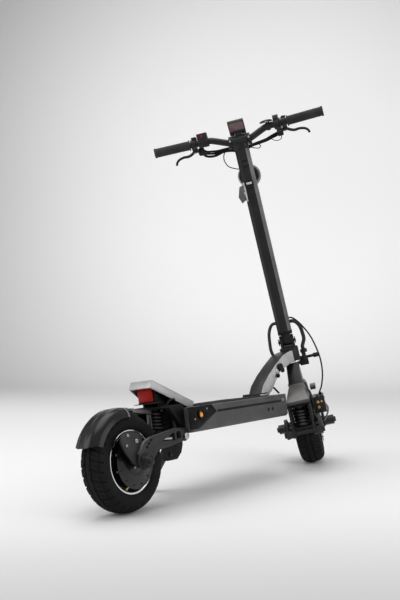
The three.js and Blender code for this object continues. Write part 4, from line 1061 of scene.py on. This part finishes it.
# The cap's eight slots are dark plates: painted shade in the slots.
slot_shape = pushed(oblong((9, 17), (-1.3, 1.3), 1.2, 3), (-1.2, 0.4))
pattern = from_bmesh("slot_pattern", slot_shape, Matrix.Scale(MM, 4))
slot_place = cap_place @ Matrix.Translation((0, -3.1, 0)) @ Matrix.Scale(1 / MM, 4)
slot_shade = ring_of("caliper_slots", pattern, 8, black_and_painted_shade, slot_place)
dress(slot_shade, "rear_arm", [], 30)
bpy.data.objects.remove(pattern)
screws("caliper_screws", "rear_arm", steel, CHASSIS, [
    (-47, -69.6, 201, (0, -1, 0), 4.2), (-54, -69.6, 176, (0, -1, 0), 3.4), (12, -69.6, 140, (0, -1, 0), 3.6),
    (CAP[0], -69.2, CAP[1], (0, -1, 0), 5.5)])
# Dark discs on the arm's plate: painted shade in its three holes.
screws("arm_holes", "rear_arm", black_and_painted_shade, CHASSIS, [
    (x, -79.9, z, (0, -1, 0), 3.4) for x, z in ((12, 164.5), (20.5, 172.4), (30, 180.3))])

# %% [markdown]
# ## Behind the wheel
# The tail light has moulded ribs in a black tray, and the kick plate over it is a pale metal tray with coarse
# grip tape stuck on top. The tape stops short of the edges, so a bright frame stays visible.

# %% Kick plate tape
KICK_TOP = (110, 336, 39)  # forward, up and half width at its high end
KICK_LOW = (245, 264, 70)
kick_slope = math.atan2(KICK_LOW[1] - KICK_TOP[1], KICK_LOW[0] - KICK_TOP[0])
kick_length = math.hypot(KICK_LOW[0] - KICK_TOP[0], KICK_LOW[1] - KICK_TOP[1])
KICK = CHASSIS @ Matrix.Translation((KICK_TOP[0], 0, KICK_TOP[1])) @ Matrix.Rotation(-kick_slope, 4, "Y")
top_half, low_half = KICK_TOP[2] - 7, KICK_LOW[2] - 8
tape = [(9, -top_half), (kick_length - 5, -low_half), (kick_length - 5, low_half), (9, top_half)]
made("kickplate_tape", pushed(tape, (-0.4, 1.0), "z"), KICK, "frame", grip_tape, 0.4)
screws("kickplate_screws", "frame", steel, KICK, [
    (4.6, side * 26, -0.2, (0, 0, 1), 2.6) for side in (-1, 1)])

# %% Tail light tray, the thin plate under it and the bright leg behind the spring
made("tail_light_tray", joined(
    pushed(oblong((121, 141), (272.5, 276.5)), (-28, 28)), pushed(oblong((124.2, 141), (276, 316), 2), (-31, -20)),
    pushed(oblong((124.2, 134), (276, 316), 2), (20, 28))), CHASSIS, "frame", black_and_painted_shade, 0.8)
made("tail_plate", pushed([(100, -26), (150, -40), (150, 40), (100, 26)], (271.2, 272.8), "z"), CHASSIS, "frame",
     gloss_black, 0.3)
made("spring_leg", pushed(oblong((174, 181), (197, 249)), (-50, -42)), CHASSIS, "frame", pale_grey_and_arm_highlight, 0.8)
made("spring_cable", sweep(smooth_route([(150, -46, 262), (158, -52, 274), (176, -54, 276), (190, -50, 262),
                                         (193, -48, 252)], 3), round_tube(3.4), 12), CHASSIS, "frame",
     hose_rubber, 0, 60)

# %% [markdown]
# ## The deck
# The deck's long flank is a plain pressed box. A narrow dark strip runs along it, the rear caps are glossy, and
# each side light sits in a dark bezel.

# %% Strips, bezels and small things on the flanks
DECK_SIDE = 94.8
CAP_SIDE = 98.0
SIDE_LIGHT = (232.6, 227)
BEZEL = [(9.4, 0), (9.6, 3.4), (11, 4.2), (13, 3.4), (13.6, 0)]
for side, word in SIDES:
    out = (0, side, 0)
    flank = sorted((side * DECK_SIDE, side * 95.5))
    made(f"flank_strip_{word}", pushed(oblong((317, 662), (226.2, 232.8), 2.4), flank), CHASSIS, "frame",
         black_and_painted_shade, 0.2)
    bezel_place = CHASSIS @ Matrix.Translation((SIDE_LIGHT[0], side * CAP_SIDE, SIDE_LIGHT[1]))
    made(f"side_light_bezel_{word}", lathe([(r, side * y) for r, y in BEZEL], 48), bezel_place, "frame",
         black_and_painted_shade, 0, 40)
    screws(f"flank_screws_{word}", "frame", steel, CHASSIS, [
        (672, side * DECK_SIDE, 232.6, out, 4.4), (262, side * CAP_SIDE, 240, out, 2.6),
        (203, side * CAP_SIDE, 216, out, 2.6)])
    # Two dark discs on each flank: painted shade in shallow recesses.
    made(f"flank_recesses_{word}", joined(*[
        bar((x, side * 94.6, 209), (x, side * 95.3, 209), 6.0) for x in (585, 608)]),
        CHASSIS, "frame", black_and_painted_shade, 0.2)
made("charge_flap", joined(bar((560, 94.6, 215), (560, 97.6, 215), 12, 40), bar((548, 96, 215), (544, 96.6, 215), 2)),
     CHASSIS, "frame", hand_rubber, 0.6)

# %% [markdown]
# The lid's edge is bare aluminium, and it shows as a pale line along the top of the flank. The rubber mat lies on
# it with fine ribs along its length, so a shoe doesn't slide sideways.

# %% Lid and mat
rounded("deck_lid", graphite, 0.7, other=(pale_grey_and_arm_highlight, CHASSIS, lambda normal, centre: abs(normal.z) < 0.5))
MAT_RIB = 5.0
mat_top = []
for k in range(int(168 / MAT_RIB) + 1):
    y = -84 + k * MAT_RIB
    mat_top += [(y, 252.2), (y + 1.2, 253.1), (y + 3.0, 253.1), (y + 4.2, 252.2)]
mat_outline = [(-86, 250.1), *[(y, z) for y, z in mat_top if -85 < y < 85], (86, 252.2), (86, 250.1)]
mat = made("deck_mat_ribbed", pushed(mat_outline, (262, 606), "x"), CHASSIS, "frame", mat_rubber, 0, 30)
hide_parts("deck_mat")

# %% [markdown]
# ## Neck and fork
# The neck is a bright curved arm with a grey spine. A knuckle, two bolts and a short strut sit on its right, and
# the loom to the motor leaves it in a woven sleeve.

# %% Neck fittings
screws("neck_bolts", "frame", ring_silver, CHASSIS, [
    (772, -24.2, 325, (0, -1, 0), 6.5), (748, -24.2, 312, (0, -1, 0), 5.0)])
made("neck_knuckle", joined(
    bar((790, -23, 336), (790, -33, 336), 13), bar((806, -23, 326), (806, -30, 326), 8),
    bar((772, -23, 309), (772, -31, 309), 7)), CHASSIS, "frame", black_and_painted_shade, 0.8)
made("neck_strut", bar((761, -12, 271), (788, -12, 252), 3.2, 12), CHASSIS, "frame", hose_rubber, 0)
made("neck_foot_screws_plate", pushed(oblong((641, 687), (255.6, 257.0), 3), (-33.2, 33.2)), CHASSIS, "frame",
     satin_black, 0.4)

NECK_ROUTE = [(802.2, 0, 316.8), (788, 0, 301.5), (762, 0, 276), (738, 0, 252), (722, 0, 236), (714, 0, 226),
              (702.3, 0, 226)]
neck_loom = made("neck_cable_sleeve", sweep(smooth_route(NECK_ROUTE, 3), round_tube(5), 20), CHASSIS,
                 body_of["neck_cable"], braid, 0, 60)
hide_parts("neck_cable")
made("head_ring", bar((0, 0, 359), (0, 0, 363.4), 31.2, 64), STEERING, "steering", ring_silver, 0.6)

# %% Fork fittings
made("fork_flange", pushed(oblong((-204, -126), (243.5, 247.5), 3), (-38.5, 38.5)), STEERING, "steering",
     black_and_painted_shade, 0.5)
made("lamp_bracket", pushed([(-66, 262), (-30, 262), (-24, 268), (-24, 276), (-66, 276)], (-62, -43.5), "y"), STEERING,
     "steering", fork_grey_and_highlight, 1.0)
# Two dark discs on the lamp bracket: painted shade in its holes.
screws("bracket_holes", "steering", black_and_painted_shade, STEERING, [
    (-66, -50, 268, (-1, 0, 0), 3.0), (-66, -57, 269, (-1, 0, 0), 3.0)])
arm_run = smooth_route([(-66, -62, 226), (-72, -78, 212), (-74, -87, 192), (-70, -80, 170), (-60, -66, 150)], 3)
made("caliper_arm", sweep(arm_run, lambda t: (5.5, 3.0), 12), STEERING, "front_arm", pale_grey_and_arm_highlight, 0, 50)
screws("caliper_bolts_front", "front_arm", gold_screw, STEERING, [
    (-92.4, -60, 222, (-1, 0, 0), 4.6), (-92.4, -72, 222, (-1, 0, 0), 3.4), (-92.4, -60, 204, (-1, 0, 0), 4.6),
    (-62, -82.2, 228, (0, -1, 0), 4.0), (-62, -82.2, 206, (0, -1, 0), 4.0)])
made("caliper_banjo", joined(
    bar((-58, -72, 240), (-58, -72, 247), 5.5), bar((-78, -60, 240), (-78, -60, 244), 4)), STEERING, "front_arm",
    satin_black, 0.6)

# %% [markdown]
# ## Stem fittings
# The fold joint at the stem's foot has a dark pin cap on each side and a collar above it. Two slots near the top
# let looms in.

# %% Fold pin, slots and collar
STEM_BACK = -26
made("fold_pin_cap", joined(*[
    bar((0, side * 26.6, FOLD_AT), (0, side * 29.6, FOLD_AT), 11.5, 40) for side, _ in SIDES]),
    STEERING, "steering", satin_black, 0.8)
screws("fold_pin_screws", "steering", steel, STEERING, [
    (0, side * 29.4, FOLD_AT, (0, side, 0), 4.2) for side, _ in SIDES])
# Two dark rounded plates on the stem's back: painted shade in the slots that let looms in.
made("stem_slots", joined(*[
    pushed(oblong((-9.5, 9.5), (at - 2.6, at + 2.6), 2.4), (-0.5, 0.8), "x") for at in (1048, 1068)]),
    STEERING @ Matrix.Translation((STEM_BACK, 0, 0)) @ Matrix.Scale(-1, 4, (1, 0, 0)), "stem",
    black_and_painted_shade, 0)
made("stem_collar", pushed(oblong((-25.4, 25.4), (-23.4, 23.4), 10), (459.4, 470), "z"),
     STEERING @ Matrix.Diagonal((1.045, 1.045, 1, 1)), "stem", black_and_painted_shade, 1.0)

# %% [markdown]
# ## The handlebar
# One bent tube carries everything a hand needs. It is swept smoothly along its bends, and the grips are soft
# rubber sleeves with moulded rings and a domed end cap.

# %% The bar and its grips
BAR_POINTS = [(0, 0, 1137), (0, 15, 1137), (0, 28, 1137), (-1, 42, 1141), (-3, 84, 1158), (-4, 102, 1163),
              (-6, 134, 1163.5), (-11, 210, 1164.7), (-16, 287, 1166)]


def on_bar(left):
    (ax, ay, az), (bx, by, bz) = BAR_POINTS[5], BAR_POINTS[-1]
    t = (abs(left) - ay) / (by - ay)
    return Vector((ax + t * (bx - ax), left, az + t * (bz - az)))


whole_bar = [*[(x, -y, z) for x, y, z in BAR_POINTS[:0:-1]], *BAR_POINTS]
tube = made("handlebar_tube", sweep(smooth_route(whole_bar, 4), round_tube(11.1), 32), STEERING, "stem",
            satin_black, 0, 60)
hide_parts("handlebar")


def grip_bmesh(side):
    """Rings along the sleeve, then a flange inside and a cap outside."""
    profile = [(169, 15.6), (169.4, 18.2), (171.6, 18.5), (173.2, 18.0), (174, 15.0)]
    for k in range(26):
        start = 176 + k * 4.15
        profile += [(start, 14.6), (start + 0.7, 15.9), (start + 2.7, 15.9), (start + 3.4, 14.6)]
    profile += [(286, 15.4), (287, 16.9), (291.6, 16.9), (293, 15.6)]
    route = [on_bar(side * at) for at, _ in profile]
    radii = [radius for _, radius in profile]
    count = len(profile) - 1
    return sweep(route, lambda t: (radii[round(t * count)],) * 2, 40)


for side, word in SIDES:
    grip = made(f"grip_{word}_ribbed", grip_bmesh(side), STEERING, "stem", hand_rubber, 0, 50)
    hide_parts(f"grip_{word}")

# %% [markdown]
# ## Levers, pods and bell
# Each brake lever is one bent blade, flat towards the fingers and with a ball at its tip. The pods on the bar are
# moulded boxes; small rounded blocks on them break up their plain sides.

# %% Brake levers
BLADE = [(26, 156, 1149), (40, 168, 1141), (48, 186, 1134), (49, 207, 1134.5), (49, 224, 1130), (48, 233, 1122),
         (46, 236, 1113)]
for side, word in SIDES:
    node = f"brake_lever_{word}"
    pivot = (26, side * 156)
    route = smooth_route([(x, side * y, z) for x, y, z in BLADE], 2.5)
    lever = made(f"{node}_blade", joined(
        sweep(route, lambda t: (4.4 - 1.6 * t, 5.6 - 1.6 * t), 20), bar((*pivot, 1144.6), (*pivot, 1153.4), 7, 32),
        bar((*pivot, 1141.5), (*pivot, 1165.5), 3, 16)), STEERING, node, matt_black, 0.5)
    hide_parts(node)
    screws(f"lever_pin_{word}", "stem", steel, STEERING, [
        (*pivot, 1166.0, (0, 0, 1), 4.0), (12, side * 158, 1182.6, (0, 0, 1), 2.6)])

# %% The bell, and small blocks on the pods
bell_place = STEERING @ Matrix.Translation((-4, -100, 1177)) @ Matrix.Rotation(math.radians(90), 4, "X")
dome = lathe([(0.3, 0), (21.6, 0), (22.6, 1.0), (22.4, 2.6), (20.6, 4.6), (16.6, 6.6), (10, 8.0), (0.3, 8.6)], 64)
dome_piece = made("bell_dome", dome, bell_place, "stem", gloss_black, 0, 50)
made("bell_ring", joined(
    sweep([on_bar(-98), on_bar(-104), on_bar(-110)], round_tube(14.5), 40), bar((-4, -104, 1170), (-4, -104, 1177), 5)),
    STEERING, "stem", matt_black, 0.8)
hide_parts("bell")
made("pod_blocks", joined(
    pushed(oblong((-20, 12), (143.5, 160), 3), (1176.5, 1187), "z"),
    pushed(oblong((-18, 10), (-167, -152), 3), (1177, 1184), "z"),
    pushed(oblong((-21, -17.4), (110, 137), 1.5), (1166, 1192), "z")), STEERING, "stem",
    matt_black, 1.2)
made("lever_perches", joined(*[
    pushed(oblong(sorted((side * 128, side * 149.5)), (1124, 1150), 5), (22, 40), "x") for side, _ in SIDES]),
    STEERING, "stem", satin_black, 1.6)
made("bar_clamp_cheeks", joined(
    bar((0, -38, 1139), (0, -26.6, 1138), 21, 48), bar((0, 26.6, 1138), (0, 39, 1140), 21, 48)),
    STEERING, "stem", satin_black, 2.0)
screws("bar_clamp_screws", "stem", steel, STEERING, [
    (-20.4, side * 32, 1143, (-1, 0, 0), 3.4) for side, _ in SIDES])
made("screen", pushed(oblong((-24.5, 24.5), (-9, 22), 3), (0, 0.9), "x"),
     STEERING @ Matrix.Translation((-16, 0, 1184)) @ Matrix.Rotation(math.radians(-32), 4, "Y")
     @ Matrix.Translation((-7.3, 0, 0)), "stem", screen_glass, 0.3)
made("hook_plate", pushed([(17, 991), (36, 985), (46, 952), (38, 929), (22, 938), (24, 964), (17, 972)],
                          (-39, -35.5), "x"), STEERING, "stem_hook", pale_metal_and_stem_highlight, 0.8)

# %% [markdown]
# ## Looms and hoses
# Black looms leave the bar, dive into the stem, come out at its foot and go down to the head tube and the wheel.
# The ones that cross the fold joint are drawn in the steering's directions and kept as plain mesh.

# %% Bar cables
LOOMS = (
    (3.6, [(30, 144, 1142), (38, 130, 1130), (40, 112, 1124), (39, 90, 1121), (37, 66, 1123), (32, 44, 1122),
           (24, 22, 1116)]),
    (4.2, [(30, 142, 1136), (40, 128, 1120), (42, 110, 1114), (41, 90, 1114), (38, 68, 1119), (32, 44, 1117),
           (24, 20, 1110)]),
    (3.8, [(28, 138, 1146), (34, 122, 1134), (36, 104, 1130), (36, 84, 1127), (35, 62, 1127), (30, 42, 1126),
           (22, 22, 1121)]),
    (3.8, [(30, -146, 1144), (38, -128, 1138), (40, -108, 1133), (38, -86, 1126), (34, -58, 1122), (28, -36, 1119),
           (22, -20, 1115)]),
    (3.8, [(30, -142, 1138), (40, -124, 1130), (42, -106, 1126), (40, -86, 1121), (36, -58, 1118), (29, -36, 1115),
           (22, -20, 1110)]),
    (1.7, [(24, 58, 1120), (20, 66, 1106), (20, 69, 1088), (20, 60, 1066), (20, 42, 1054), (18, 22, 1046)]),
    (1.3, [(40, -104, 1123), (40, -114, 1115), (40, -128, 1112), (40, -139, 1118), (38, -140, 1132)]),
    (1.5, [(28, -22, 1114), (30, -44, 1105), (30, -57, 1102), (30, -64, 1108), (30, -56, 1117)]),
)
looms = joined(*[sweep(smooth_route(run, 3), round_tube(radius)) for radius, run in LOOMS])
loom_piece = made("bar_looms", looms, STEERING, "stem", hose_rubber, 0, 60)
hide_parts("bar_cables")
made("bar_gland", pushed(oblong((26.3, 42), (-15, 15), 4), (1070, 1098), "z"), STEERING, "stem",
     matt_black, 1.6)

# %% Looms across the fold joint
CROSSING = {
    "cable_bundle_right": (6.5, braid, [(8, -24.6, 497), (8, -34, 497), (12, -45, 489), (20, -54, 472), (29, -57, 448),
                                        (32, -57, 424), (30, -47, 402), (30, -47, 390.3)]),
    "cable_bundle_left": (5.5, braid, [(-6, 24.6, 502), (-6, 34, 502), (-9, 44, 494), (-12, 54, 472), (-10, 59, 440),
                                       (-4, 61, 412), (4, 56, 386), (6, 46, 364), (2, 38, 356.5), (0, 30.3, 356)]),
    "front_brake_hose": (2.6, hose_rubber, [(-4, -24.6, 512), (-4, -36, 509), (-5, -56, 486), (-8, -80, 440),
                                            (-8, -93, 390), (-10, -98, 345), (-18, -94, 300), (-42, -82, 264),
                                            (-58, -72, 249), (-58, -72, 240.3)]),
}
for node, (radius, material, points) in CROSSING.items():
    route = smooth_route(points, 3)
    piece = from_bmesh(f"{node}_sleeve", sweep(route, round_tube(radius), 20), STEERING)
    piece.data.materials.append(material)
    piece.data.shade_smooth()
    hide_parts(node)
    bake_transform(piece)

# %% [markdown]
# ## Floor, backdrop and light
# The scooter stands in a white cove: one sheet that is floor in front and wall behind. Its colour makes the pale
# background, and a faint glow that only the camera sees lifts the wall, so the blacks stay black. Large soft lamps
# give long quiet highlights.

# %% A cove that sweeps up behind
COVE_FRONT, COVE_BACK, COVE_BEND, COVE_HIGH, COVE_HALF = -6.0, 3.2, 1.6, 6.0, 9.0
AWAY = Vector((math.cos(CAMERA_YAW), math.sin(CAMERA_YAW), 0))
ACROSS = Vector((-AWAY.y, AWAY.x, 0))


def cove():
    bm = bmesh.new()
    turns = [math.radians(6 * k) for k in range(1, 16)]
    profile = [(COVE_FRONT, 0.0), (COVE_BACK, 0.0)]
    profile += [(COVE_BACK + COVE_BEND * math.sin(a), COVE_BEND - COVE_BEND * math.cos(a)) for a in turns]
    profile += [(COVE_BACK + COVE_BEND, COVE_HIGH)]
    rows = [[bm.verts.new(AWAY * run + ACROSS * side + Vector((0, 0, rise))) for run, rise in profile]
            for side in (-COVE_HALF, COVE_HALF)]
    for j in range(len(profile) - 1):
        bm.faces.new((rows[0][j], rows[0][j + 1], rows[1][j + 1], rows[1][j]))
    sheet = from_bmesh("studio_cove", facing_out(bm))
    sheet.data.shade_smooth()
    return sheet


def cove_paper():
    """White paper with painted shade: a little darker near the front edge and in the far corners, as lamps leave it."""
    shader = Shader("cove_paper", (0.8, 0.795, 0.8), 0.9)
    where = shader.place()
    run = shader.add("ShaderNodeVectorMath", {"operation": "DOT_PRODUCT"}, {0: where, 1: AWAY}, "Value")
    painted_light_centre = AWAY * 4.6 - ACROSS * 0.75 + Vector((0, 0, 1.6))
    painted_light_distance = shader.add("ShaderNodeVectorMath", {"operation": "DISTANCE"}, {0: where, 1: painted_light_centre}, "Value")
    # Painted shade: front darkens the floor towards its front edge, and corner darkens the wall away from a painted
    # pool of light round one spot; the wall's glow fades with it.
    wall = shader.step(run, 1.6, 3.4)
    front = shader.step(run, -1.45, -0.2)
    corner = shader.step(painted_light_distance, 0.8, 4.3) * wall
    shade = shader.mix(corner, (0.83, 0.825, 0.83), (0.30, 0.30, 0.305))
    shader.colour(shader.mix(front, (0.52, 0.52, 0.522), shade))
    path = shader.nodes.new("ShaderNodeLightPath")
    seen = [Value(shader, path.outputs[name]) for name in ("Is Camera Ray", "Is Glossy Ray", "Is Transmission Ray")]
    seen = shader.maths("MAXIMUM", shader.maths("MAXIMUM", seen[0], seen[1]), seen[2])
    lift = seen * wall * (1 - corner)
    shader.feed(shader.skin, "Emission Color", shader.mix(lift, (0, 0, 0), (0.27, 0.265, 0.27)))
    shader.feed(shader.skin, "Emission Strength", 1.0)
    return shader.material


sheet = cove()
sheet.data.materials.append(cove_paper())

# %% Lamps and room
LAMPS = (  # name, place, what it points at, size in metres, watts
    ("top_soft", (-0.3, 0.4, 3.4), (0, 0, 0.3), (3.0, 2.4), 62),
    ("left_soft", (-2.6, 1.8, 1.9), (0, 0, 0.5), (1.8, 1.8), 26),
    ("right_soft", (0.6, -3.2, 1.8), (0, 0, 0.5), (2.0, 1.6), 20),
)
for name, at, towards, size, power in LAMPS:
    lamp = bpy.data.lights.new(name, "AREA")
    lamp.shape = "RECTANGLE"
    lamp.size, lamp.size_y = size
    lamp.energy = power
    holder = linked(name, lamp)
    holder.location = at
    holder.rotation_euler = (Vector(towards) - Vector(at)).to_track_quat("-Z", "Y").to_euler()

ROOM_LIGHT = 0.62
world = bpy.data.worlds.new("room")
world.use_nodes = True
bpy.context.scene.world = world
world.node_tree.nodes["Background"].inputs["Color"].default_value = (1.0, 1.0, 1.0, 1.0)
world.node_tree.nodes["Background"].inputs["Strength"].default_value = ROOM_LIGHT

# %% [markdown]
# ## The end
# The dressed scooter has to stay the size of the solids.

# %% Remove the screw pattern
bpy.data.objects.remove(screw)
